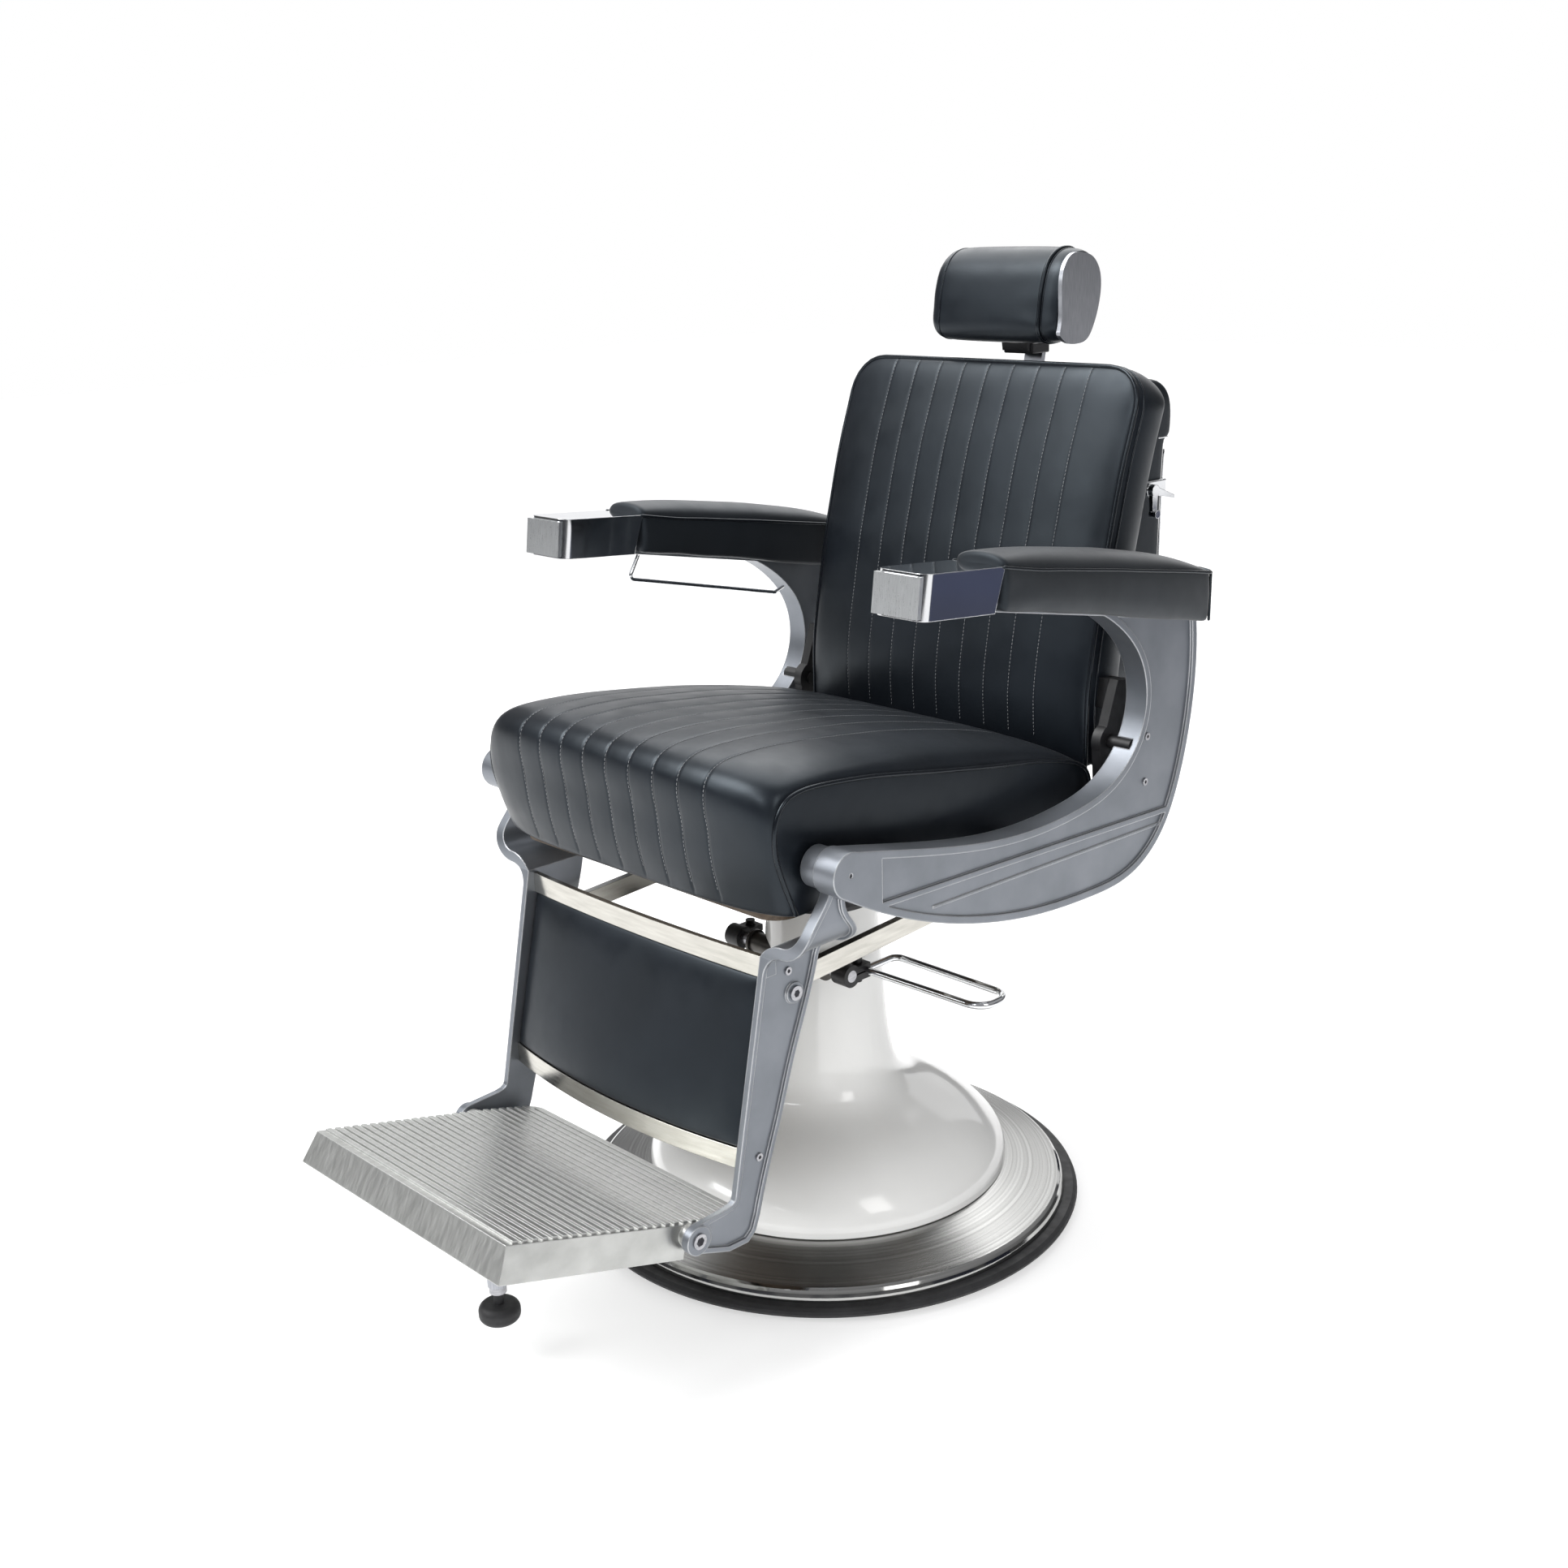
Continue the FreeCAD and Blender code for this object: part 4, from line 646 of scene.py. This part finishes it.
def stitch(net, surface, path):
    """One short fat stitch along a path on a cover, dipping into it at both ends."""
    path = laid_on(surface, path, 0.0)
    _, normal, _, _ = surface.find_nearest(Vector(path[2]))
    rise = np.array(normal)
    direction = path[-1] - path[0]
    direction = direction / max(np.linalg.norm(direction), 1e-9)
    other = np.cross(direction, rise)
    rings = []
    for centre, (_, lift, size) in zip(path, STITCH_PROFILE):
        ring = []
        for k in range(STITCH_SIDES):
            angle = 2 * math.pi * k / STITCH_SIDES
            spoke = rise * (lift + size * math.cos(angle)) + other * size * math.sin(angle)
            ring.append(net.verts.new(Vector(centre + STITCH_RADIUS * spoke) * MM))
        rings.append(ring)
    for one, two in zip(rings, rings[1:]):
        for k in range(STITCH_SIDES):
            after = (k + 1) % STITCH_SIDES
            net.faces.new((one[k], one[after], two[after], two[k]))
    net.faces.new(rings[0][::-1])
    net.faces.new(rings[-1])


def stitches(name, surface, lines, body):
    """Rows of single stitches lying on a cover."""
    net = bmesh.new()
    for line in lines:
        run = lengths_along(line)
        for start in np.arange(STITCH_GAP, run[-1] - STITCH_LENGTH, STITCH_LENGTH + STITCH_GAP):
            stitch(net, surface, points_at(line, run, start + STITCH_PROFILE[:, 0] * STITCH_LENGTH))
    made = object_from(net, name)
    made.data.materials.append(THREAD)
    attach(made, body)


def dress(made, body, replaced, material=LEATHER):
    """Gives a padded piece its cover and body, and hides the CAD part that it replaces."""
    made.data.materials.clear()
    made.data.materials.append(material)
    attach(made, body)
    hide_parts(replaced)


# ---- seat cushion -------------------------------------------------------------------
CHANNEL_PITCH = 42.0
CHANNELS = [CHANNEL_PITCH * step for step in range(-4, 5)]
SEAT_HALF = 257.0
SEAT_FLOOR = 552.0
# Side seam and middle of the seat, (y, z), from the front's bottom over the top to the rear's bottom.
SEAT_SEAM = [(-300, 556), (-318, 598), (-329, 636), (-326, 670), (-313, 688), (-294, 695), (-266, 696),
             (-220, 692), (-160, 684), (-60, 666), (46, 648), (131, 635), (191, 621), (222, 607), (234, 590),
             (236, 568), (232, 553)]
SEAT_MIDDLE = [(-332, 552), (-344, 600), (-349, 648), (-354, 686), (-347, 710), (-324, 723), (-285, 726),
               (-225, 724), (-160, 717), (-60, 704), (46, 683), (127, 662), (180, 643), (214, 624),
               (231, 602), (236, 572), (232, 553)]
SEAT_ROW = 9.5
# Shares of the way down the seat's sides, and how far they swell; less where lower than SIDE_FULL.
SIDE_STEPS = np.array([0, 0.05, 0.13, 0.25, 0.4, 0.55, 0.7, 0.83, 0.93, 1.0])
SIDE_SWELL, SIDE_FULL = 3.0, 60.0


def channel_columns(half):
    """Columns across a cushion: close together at each channel, and towards the edges."""
    columns = []
    for centre in CHANNELS:
        columns.extend(centre + shift for shift in (-14, -7, -3.5, 0, 3.5, 7, 14, 21))
    outer = CHANNELS[-1] + CHANNEL_PITCH / 2
    edge = [half - inset for inset in (0, 1.2, 3.5, 7, 12, 18)]
    middle = list(np.arange(outer + 8, half - 20, 8.0))
    for place in edge + middle:
        columns.extend([place, -place])
    columns.append(-outer)
    return np.array(sorted(set(round(c, 3) for c in columns)))


def channel_numbers(columns):
    """The number of the column that lies on each channel."""
    return [int(np.argmin(np.abs(columns - centre))) for centre in CHANNELS]


def press_channels(made, chosen, depth, reach, quilt):
    """Draws a cover in along its sewn channels and lets it stand up a little between them."""
    points, normals = points_of(made), vectors(made.data.vertex_normals, "vector")
    away = np.min(np.abs(points[:, :1] - np.array(CHANNELS)[None, :]), axis=1)
    inside = np.abs(points[:, 0]) < CHANNELS[-1] + CHANNEL_PITCH / 2
    groove = depth * np.exp(-(away / reach) ** 2)
    swell = quilt * np.sin(np.clip(away / (CHANNEL_PITCH / 2), 0, 1) * math.pi / 2)
    points += normals * (chosen(points, normals) * inside * (swell - quilt - groove))[:, None]
    set_points(made, points)


def sew_channels(name, surface, grid, columns, body):
    """A row of stitches along each channel of a cover."""
    lines = [laid_on(surface, grid[:, number], 0.0) for number in channel_numbers(columns)]
    stitches(name, surface, lines, body)


def seat_side(hand, seam, low):
    """The upright border of the seat on one hand, from the seam down to the line below it."""
    side = np.zeros((len(seam), len(SIDE_STEPS), 3))
    side[:, :, 1:] = seam[:, None, :] + (low - seam)[:, None, :] * SIDE_STEPS[None, :, None]
    full = np.minimum(1, np.linalg.norm(low - seam, axis=1)[:, None] / SIDE_FULL)
    side[:, :, 0] = hand * (SEAT_HALF + SIDE_SWELL * np.sin(math.pi * SIDE_STEPS)[None, :] * full)
    return side


def seat_sewn(points, normals):
    """The top and the front of the seat."""
    return (points[:, 2] > SEAT_FLOOR + 6) & ((normals[:, 2] > 0.1) | (normals[:, 1] < -0.3))


def make_seat():
    """The seat cushion: a crowned top that rolls over the front, upright sides and a flat underside."""
    steps = even_steps(SEAT_MIDDLE, SEAT_ROW)
    seam, middle = spline_at(SEAT_SEAM, steps), spline_at(SEAT_MIDDLE, steps)
    columns = channel_columns(SEAT_HALF)
    crown = np.sqrt(np.maximum(0.0, 1 - np.abs(columns / SEAT_HALF) ** 4))
    top = np.zeros((len(seam), len(columns), 3))
    top[:, :, 0] = columns[None, :]
    top[:, :, 1:] = seam[:, None, :] + (middle - seam)[:, None, :] * crown[None, :, None]
    share = lengths_along(seam) / lengths_along(seam)[-1]
    low = np.stack([seam[0, 0] + (seam[-1, 0] - seam[0, 0]) * share, np.full(len(seam), SEAT_FLOOR)], 1)
    low[0], low[-1] = seam[0], seam[-1]
    under = top.copy()
    front, rear = top[0, :, 1:], top[-1, :, 1:]
    under[:, :, 1:] = (low[:, None, :] + (front - low[0])[None, :, :] * (1 - share)[:, None, None]
                       + (rear - low[-1])[None, :, :] * share[:, None, None])
    under[1:-1, :, 2] = SEAT_FLOOR
    seat = mesh_object("seat_cover", [top, seat_side(-1, seam, low), seat_side(1, seam, low), under])
    puff(seat, [top[:, 0], top[:, -1], under, top[:, channel_numbers(columns)]], pressure=1.1, cap=2.2)
    refine(seat)
    press_channels(seat, seat_sewn, depth=0.9, reach=1.7, quilt=0.5)
    dress(seat, "seat", "seat_cushion")
    for hand, label in ((-1, "right"), (1, "left")):
        line = np.insert(seam[:-1], 0, hand * (SEAT_HALF + 0.4), axis=1)
        tube("seat_piping_" + label, line, PIPING_RADIUS, PIPING, "seat")
    sew_channels("seat_stitches", surface_of(seat), top[2:-6], columns, "seat")


# ---- back cushion -------------------------------------------------------------------
BACK_HALF, BACK_CORNER, BACK_CROWN = 245.0, 50.0, 14.0
# The front seam up the side of the back, (y, z).
BACK_SEAM = [(243, 599), (243, 660), (245, 700), (252, 745), (262, 795), (274, 855), (286, 900), (298, 945),
             (312, 990), (331, 1042), (349, 1098)]
# The boxing is the strip from the front seam to the rear edge, which lies a little higher. From SLOPE_START
# up, over SLOPE_HEIGHT, its top comes to slope down rearwards; from CORNER_START up it swells upward too.
BOXING_DEPTH, BOXING_RISE, BOXING_SWELL = 66.0, 6.0, 5.0
BOXING_STEPS = np.array([0, 3, 7, 11, 12, 13, 17, 24, 34, 44, 54, 62, 66]) / BOXING_DEPTH
WELT_STEP = 4
SLOPE_START, SLOPE_HEIGHT, SLOPE_NEARER, SLOPE_LOWER = 1010.0, 88.0, 7.0, 24.0
CORNER_START = 1040.0


def back_depth(z):
    """How far the rear edge lies behind and above the front seam, at a seam height."""
    share = np.clip((np.asarray(z, float) - SLOPE_START) / SLOPE_HEIGHT, 0, 1)
    share = share * share * (3 - 2 * share)
    return np.stack([BOXING_DEPTH - SLOPE_NEARER * share, BOXING_RISE - SLOPE_LOWER * share], -1)


def back_rows():
    """Rows up the back: share of the height, half width, (y, z) and the direction forward."""
    line = even_line(BACK_SEAM, 2.0)
    run = lengths_along(line)
    bend = run[-1] - BACK_CORNER
    straight = np.linspace(0, bend, int(round(bend / 10)) + 1)
    turn = np.radians([15, 30, 45, 60, 75, 90])
    height = np.concatenate([straight, bend + BACK_CORNER * np.sin(turn)])
    half = np.concatenate([np.full(len(straight), BACK_HALF), BACK_HALF - BACK_CORNER * (1 - np.cos(turn))])
    ahead = points_at(np.gradient(line, axis=0), run, height)
    ahead /= np.linalg.norm(ahead, axis=1)[:, None]
    forward = np.stack([-ahead[:, 1], ahead[:, 0]], 1)
    return height / run[-1], half, points_at(line, run, height), forward


def gathered(columns, half):
    """The columns in each row: outside the channels they move in where the row is narrower."""
    outer = CHANNELS[-1] + 10
    away = np.abs(columns)[None, :]
    moved = outer + (away - outer) * (half[:, None] - outer) / (BACK_HALF - outer)
    return np.where(away > outer, np.sign(columns)[None, :] * moved, columns[None, :])


def make_boxing(seam):
    """The strip behind the seam that runs round the sides and the top, swollen outward."""
    beyond = np.abs(seam[:, 0]) - (BACK_HALF - BACK_CORNER)
    outward = np.zeros_like(seam)
    outward[:, 0] = np.where(beyond > 0, np.sign(seam[:, 0]) * np.maximum(beyond, 1), 0)
    outward[:, 2] = np.maximum(seam[:, 2] - CORNER_START, 0)
    outward /= np.maximum(np.linalg.norm(outward, axis=1), 1e-6)[:, None]
    boxing = np.zeros((len(BOXING_STEPS), len(seam), 3))
    for row, share in enumerate(BOXING_STEPS):
        swell = BOXING_SWELL * math.sin(math.pi * share) ** 0.7
        boxing[row] = seam + outward * swell
        boxing[row, :, 1:] += back_depth(seam[:, 2]) * share
    return boxing


def back_sewn(_, normals):
    """The front of the back."""
    return normals[:, 1] < -0.5


def make_back():
    """The back cushion: a crowned front with channels, and boxing round its sides and top."""
    height, half, place, forward = back_rows()
    columns = channel_columns(BACK_HALF)
    spread = gathered(columns, half)
    across = np.sqrt(np.maximum(0, 1 - np.abs(spread / half[:, None]) ** 4))
    upward = np.sqrt(np.maximum(0, 1 - np.clip((height - 0.55) / 0.45, 0, 1) ** 6))[:, None]
    crown = BACK_CROWN * across * upward * (0.6 + 0.4 * np.clip(height / 0.15, 0, 1))[:, None]
    front = np.zeros((len(height), len(columns), 3))
    front[:, :, 0] = spread
    front[:, :, 1:] = place[:, None, :] + forward[:, None, :] * crown[:, :, None]
    seam = np.concatenate([front[:, 0], front[-1, 1:-1], front[::-1, -1]])
    seam[:, 1:] = np.concatenate([place, np.repeat(place[-1:], len(columns) - 2, 0), place[::-1]])
    boxing = make_boxing(seam)
    rear = front.copy()
    rear[:, :, 1:] = (place + back_depth(place[:, 1]))[:, None, :]
    low = np.array([front[0] * (1 - share) + rear[0] * share for share in BOXING_STEPS])
    low[:, :, 0] = spread[0]
    low[:, 0], low[:, -1] = boxing[:, 0], boxing[:, -1]
    back = mesh_object("back_cover", [front, boxing, rear, low])
    held = [seam, boxing[WELT_STEP], rear, low, front[:, channel_numbers(columns)]]
    puff(back, held, pressure=0.6, cap=1.5)
    refine(back)
    press_channels(back, back_sewn, depth=0.4, reach=1.5, quilt=0.1)
    dress(back, "back", "back_cushion")
    surface = surface_of(back)
    tube("back_piping", laid_on(surface, seam, 0.9), PIPING_RADIUS, PIPING, "back")
    tube("back_welt", laid_on(surface, boxing[WELT_STEP], 0.2), 1.4, PIPING, "back")
    sew_channels("back_stitches", surface, front[3:-1], columns, "back")


# ---- back shell ---------------------------------------------------------------------
SHELL_HALF, SHELL_CORNER = 215.0, 10.0
SECTION_POINTS = 18
# The rear outline, (y, z): the shell, then the box on top of it that stands out further.
SHELL_REAR = [(440, 641), (440, 700), (441, 780), (441, 860), (443, 930), (446, 985), (447, 1000)]
BOX_REAR = [(459, 1003), (461, 1010), (462, 1026), (461, 1042), (457, 1056), (450, 1067), (438, 1075),
            (420, 1079)]
# From this height up, over this height, the sides of the box draw in by this much.
BOX_ROUNDING, BOX_ROUND_HEIGHT, BOX_ROUND_DEPTH = 1045.0, 36.0, 14.0
STEP_HEIGHT = 1001.5


def section_loop(half, front_y, rear_y):
    """A level section: square in front, with rounded corners behind, as a closed loop of (x, y)."""
    radius = min(SHELL_CORNER, (rear_y - front_y) * 0.45)
    side_y = front_y + (rear_y - front_y) * 0.3
    inner_shares = np.arange(1, SECTION_POINTS) / SECTION_POINTS
    loop = []
    for hand, start in ((1, 0), (-1, 90)):
        for angle in np.radians(np.linspace(start, start + 90, 6)):
            loop.append((hand * (half - radius) + radius * math.cos(angle),
                         rear_y - radius + radius * math.sin(angle)))
        if hand == 1:
            loop.extend((half - radius - 2 * (half - radius) * share, rear_y) for share in inner_shares)
    loop.extend([(-half, side_y), (-half, front_y)])
    loop.extend((-half + 2 * half * share, front_y) for share in inner_shares)
    loop.extend([(half, front_y), (half, side_y)])
    return np.array(loop)


def make_shell():
    """The covered shell behind the back, with chrome trim down its corner and along its step."""
    seam = even_line(BACK_SEAM, 4.0)
    seam = seam + back_depth(seam[:, 1])
    rings = []
    for rear_y, z in SHELL_REAR + BOX_REAR:
        front_y = np.interp(z, seam[:, 1], seam[:, 0]) + 0.3
        above = max(0.0, z - BOX_ROUNDING) / BOX_ROUND_HEIGHT
        half = SHELL_HALF - BOX_ROUND_DEPTH * (1 - math.sqrt(max(0.0, 1 - above * above)))
        loop = section_loop(half, front_y, max(rear_y, front_y + 4))
        rings.append(np.column_stack([loop, np.full(len(loop), z)]))
    shell = mesh_object("back_shell_cover", [closed_ends(rings, (0.5, 0.02))], closed=True)
    refine(shell)
    dress(shell, "back", "back_shell")
    chrome = FINISHES["polished_chrome"]
    corner = SHELL_HALF - 0.5
    step = np.array([(corner, 430, STEP_HEIGHT), (corner, 444, STEP_HEIGHT), (corner - 2, 452, STEP_HEIGHT)])
    tube("shell_step_trim", step, 1.3, chrome, "back", spacing=2.0)
    upright = np.array([(corner - 1.5, y - 1.5, z) for y, z in SHELL_REAR[1:-1]])
    tube("shell_corner_trim", upright, 1.2, chrome, "back", spacing=6.0)


# ---- arm pads -----------------------------------------------------------------------
PAD_IN, PAD_OUT = 273.0, 346.0
PAD_WIDE, PAD_MIDDLE = (PAD_OUT - PAD_IN) / 2, (PAD_OUT + PAD_IN) / 2
PAD_RINGS = 46
# (y, seam height, underside height, crown height above the seam) down the length of an arm pad
PAD_STATIONS = [(-50, 916, 866, 15), (-20, 910, 860, 19), (18, 903, 854, 22), (60, 897, 845, 22),
                (111, 889, 836, 22), (163, 881, 825, 22), (211, 873, 814, 21), (267, 864, 803, 19),
                (310, 857, 795, 15), (345, 851, 788, 9), (362, 848, 785, 4)]
# The points of a pad's section from its underside to the foot of its inner side.
PAD_UNDERSIDE = slice(9, 19)


def pad_loop(seam_z, low_z, crown, y):
    """One upright section of an arm pad, clockwise from the outer seam."""
    loop = []
    for share in np.linspace(0, 1, 8)[:-1]:
        loop.append((PAD_OUT + 1.5 * math.sin(math.pi * share), seam_z + (low_z + 5 - seam_z) * share))
    loop.append((PAD_OUT - 0.5, low_z + 3))
    loop.append((PAD_OUT - 3.5, low_z))
    for share in np.linspace(0.1, 0.9, 7):
        loop.append((PAD_OUT - (PAD_OUT - PAD_IN) * share, low_z))
    loop.append((PAD_IN + 3.5, low_z))
    loop.append((PAD_IN + 0.5, low_z + 3))
    for share in np.linspace(0, 1, 8)[:-1]:
        loop.append((PAD_IN - 1.5 * math.sin(math.pi * share), low_z + 5 + (seam_z - low_z - 5) * share))
    for angle in np.radians(np.linspace(180, 0, 15)[:-1]):
        loop.append((PAD_MIDDLE + PAD_WIDE * math.cos(angle), seam_z + crown * abs(math.sin(angle)) ** 0.75))
    return np.array([(x, y, z) for x, z in loop])


def crown_at(x, crown):
    """How high the top of a pad's section stands above its seams at x."""
    return crown * max(0.0, 1 - ((x - PAD_MIDDLE) / PAD_WIDE) ** 2) ** 0.375


def make_pad(hand, label):
    """One arm pad; hand is 1 on the sitter's left and -1 on the right."""
    table = np.array(PAD_STATIONS, float)
    places = np.linspace(table[0, 0], table[-1, 0], PAD_RINGS)
    smooth = spline_at(table, np.interp(places, table[:, 0], np.arange(len(table))))
    rings = [pad_loop(seam, low, crown, y) for y, seam, low, crown in smooth]
    rings = closed_ends(rings, (0.6, 0.2, 0.01))
    rings[:, :, 0] *= hand
    pad = mesh_object("arm_pad_cover_" + label, [rings], closed=True)
    seams = [(hand * x, y, seam) for x in (PAD_IN, PAD_OUT) for y, seam in smooth[:, :2]]
    puff(pad, [rings[:4], rings[-4:], rings[:, PAD_UNDERSIDE], seams], pressure=4.0, cap=3.0)
    refine(pad)
    dress(pad, "seat", "arm_pad_" + label, LIT_PAD_LEATHER)
    end_y, end_seam, end_low, end_crown = smooth[-1]
    inner, outer = ([(hand * x, y, seam + 0.3) for y, seam in smooth[:, :2]]
                    for x in (PAD_IN - 0.3, PAD_OUT + 0.3))
    across = [(hand * x, end_y + 0.6, end_seam + crown_at(x, end_crown))
              for x in np.linspace(PAD_IN + 3, PAD_OUT - 3, 14)]
    tube("arm_piping_" + label, np.array(inner + across + outer[::-1]), 2.3, PIPING, "seat")
    for x, side in ((PAD_OUT - 0.4, "outer"), (PAD_IN + 0.4, "inner")):
        corner = np.array([(hand * x, end_y + 0.2, end_seam - 1), (hand * x, end_y - 0.4, end_low + 3)])
        tube("arm_corner_" + side + "_" + label, corner, 1.9, PIPING, "seat")


# ---- headrest pillow ----------------------------------------------------------------
# The pillow's section, (y, z), the centre that it is sized about, and the axis that it tilts on.
PILLOW_LOOP = [(336, 1140), (338, 1165), (342, 1192), (354, 1224), (378, 1243), (408, 1244), (428, 1227),
               (432, 1195), (427, 1172), (420, 1156), (400, 1130), (372, 1123), (348, 1126)]
PILLOW_CENTRE = np.array([385.0, 1184.0])
PILLOW_SCALE = 0.965
TILT_AXIS = (401.0, 1146.0)
# The seams lie this far out; beyond them the near end is a band of NEAR_LENGTH and the far end a dome.
PILLOW_SEAM, NEAR_LENGTH, FAR_LENGTH = 85.0, 27.0, 29.0
PILLOW_PLACES = [-112, -109, -104, -98, -92, -88, -86, -85, -84, -80, -72, -62, -50, -37, -24, -12]
PILLOW_PIPING = [("right", -85, 1.0, 1.1), ("left", 89.5, 0.985, 1.2), ("welt", 85, 1.005, 2.8)]
# The slot for the bracket, (y, z) from the tilt axis, and half its width.
NOTCH = [(-14, 6), (-24, -45), (70, -45), (70, 45), (2, 16), (-8, 14)]
NOTCH_HALF = 27.0


def pillow_size(x):
    """The size of the pillow's section at x."""
    if x > PILLOW_SEAM:
        beyond = (x - PILLOW_SEAM) / NEAR_LENGTH
        return 0.985 + 0.012 * math.sin(math.pi * beyond) - 0.07 * beyond ** 3
    if x < -PILLOW_SEAM:
        return max(0.0, 1 - ((-x - PILLOW_SEAM) / FAR_LENGTH) ** 2.6) ** 0.5
    return 1.0 + 0.035 * math.sqrt(1 - (abs(x) / PILLOW_SEAM) ** 3.0)


def pillow_ring(loop, x, size):
    """The pillow's section at x, at a size."""
    section = PILLOW_CENTRE + (loop - PILLOW_CENTRE) * PILLOW_SCALE * size
    return np.column_stack([np.full(len(loop), float(x)), section])


def make_pillow():
    """The headrest pillow: full in the middle, a flat near end behind its cap and a rounded far end."""
    loop = closed_line(PILLOW_LOOP, 64)
    places = PILLOW_PLACES + [0] + [-place for place in PILLOW_PLACES[::-1]]
    end_shares = (0.8, 0.4, 0.01)
    rings = closed_ends([pillow_ring(loop, x, pillow_size(x)) for x in places], end_shares)
    pillow = mesh_object("headrest_cover", [rings], closed=True)
    closing = len(end_shares)
    seams = [rings[number + closing] for number, x in enumerate(places) if abs(x) == PILLOW_SEAM]
    puff(pillow, [rings[:closing + 1], rings[-closing - 1:], seams], pressure=4.0, cap=3.0)
    refine(pillow)
    cut_notch(pillow, [(TILT_AXIS[0] + y, TILT_AXIS[1] + z) for y, z in NOTCH], NOTCH_HALF)
    dress(pillow, "headrest", "headrest_pillow")
    for label, x, size, radius in PILLOW_PIPING:
        tube("headrest_piping_" + label, pillow_ring(loop, x, size), radius, PIPING, "headrest", closed=True)


def cut_notch(made, outline, half):
    """Cuts an upright slot across the middle of a piece, where a bracket enters it."""
    rings = np.array([[(x, y, z) for y, z in outline] for x in (-half, half)])
    tool = mesh_object("notch_tool", [rings], closed=True)
    net = bmesh.new()
    net.from_mesh(tool.data)
    bmesh.ops.holes_fill(net, edges=net.edges)
    bmesh.ops.recalc_face_normals(net, faces=net.faces)
    net.to_mesh(tool.data)
    net.free()
    cut = made.modifiers.new("Notch", "BOOLEAN")
    cut.operation = "DIFFERENCE"
    cut.object = tool
    cut.solver = "EXACT"
    bake_modifiers(made)
    bpy.data.objects.remove(tool)


# ---- leg panel ----------------------------------------------------------------------
PANEL_HALF = 214.0
PANEL_LOW, PANEL_HIGH = 271.9, 468.6
# The front of the low and the high rail: y at their ends, and how far their middle bows forward.
RAIL_LOW, RAIL_HIGH = (-354.0, 22.0), (-309.0, 8.0)
PANEL_THICK, PANEL_SUNK, PANEL_CROWN = 9.0, 2.5, 5.5
SIDE_INSETS = np.array([0, 1.5, 4, 9, 16])
END_INSETS = np.array([0, 1.5, 4, 8])


def panel_front(x, z):
    """The y of the rails' bowed front plane."""
    share = (z - PANEL_LOW) / (PANEL_HIGH - PANEL_LOW)
    end = RAIL_LOW[0] + (RAIL_HIGH[0] - RAIL_LOW[0]) * share
    bow = RAIL_LOW[1] + (RAIL_HIGH[1] - RAIL_LOW[1]) * share
    return end - bow * (1 - (x / PANEL_HALF) ** 2)


def make_leg_panel():
    """The padded panel between the leg rest's rails, bowed as they are."""
    xs = np.concatenate([SIDE_INSETS - PANEL_HALF, np.linspace(-190, 190, 43),
                         PANEL_HALF - SIDE_INSETS[::-1]])
    zs = np.concatenate([PANEL_LOW + END_INSETS, np.linspace(PANEL_LOW + 15, PANEL_HIGH - 15, 18),
                         PANEL_HIGH - END_INSETS[::-1]])
    middle, half = (PANEL_LOW + PANEL_HIGH) / 2, (PANEL_HIGH - PANEL_LOW) / 2
    front = np.zeros((len(zs), len(xs), 3))
    rear = np.zeros((len(zs), len(xs), 3))
    for r, z in enumerate(zs):
        for c, x in enumerate(xs):
            across = max(0, 1 - abs(x / PANEL_HALF) ** 14) ** 0.5
            crown = PANEL_CROWN * across * max(0, 1 - abs((z - middle) / half) ** 8) ** 0.5
            front[r, c] = (x, panel_front(x, z) + PANEL_SUNK - crown, z)
            rear[r, c] = (x, panel_front(x, z) + PANEL_THICK, z)
    edges = []
    for cut in (np.s_[0, :], np.s_[-1, :], np.s_[:, 0], np.s_[:, -1]):
        edges.append(np.array([front[cut] * (1 - share) + rear[cut] * share for share in (0, 0.5, 1)]))
    panel = mesh_object("leg_panel_cover", [front, rear, *edges])
    puff(panel, [rear, front[0], front[-1], front[:, 0], front[:, -1]], pressure=0.8, cap=1.0)
    refine(panel)
    dress(panel, "leg_rest", "leg_panel")


make_camera()
make_world()
make_floor()
make_lights()
scene.view_settings.view_transform = "Standard"
finish_cad_nodes()
make_seat()
make_back()
make_shell()
make_pad(1, "left")
make_pad(-1, "right")
make_pillow()
make_leg_panel()
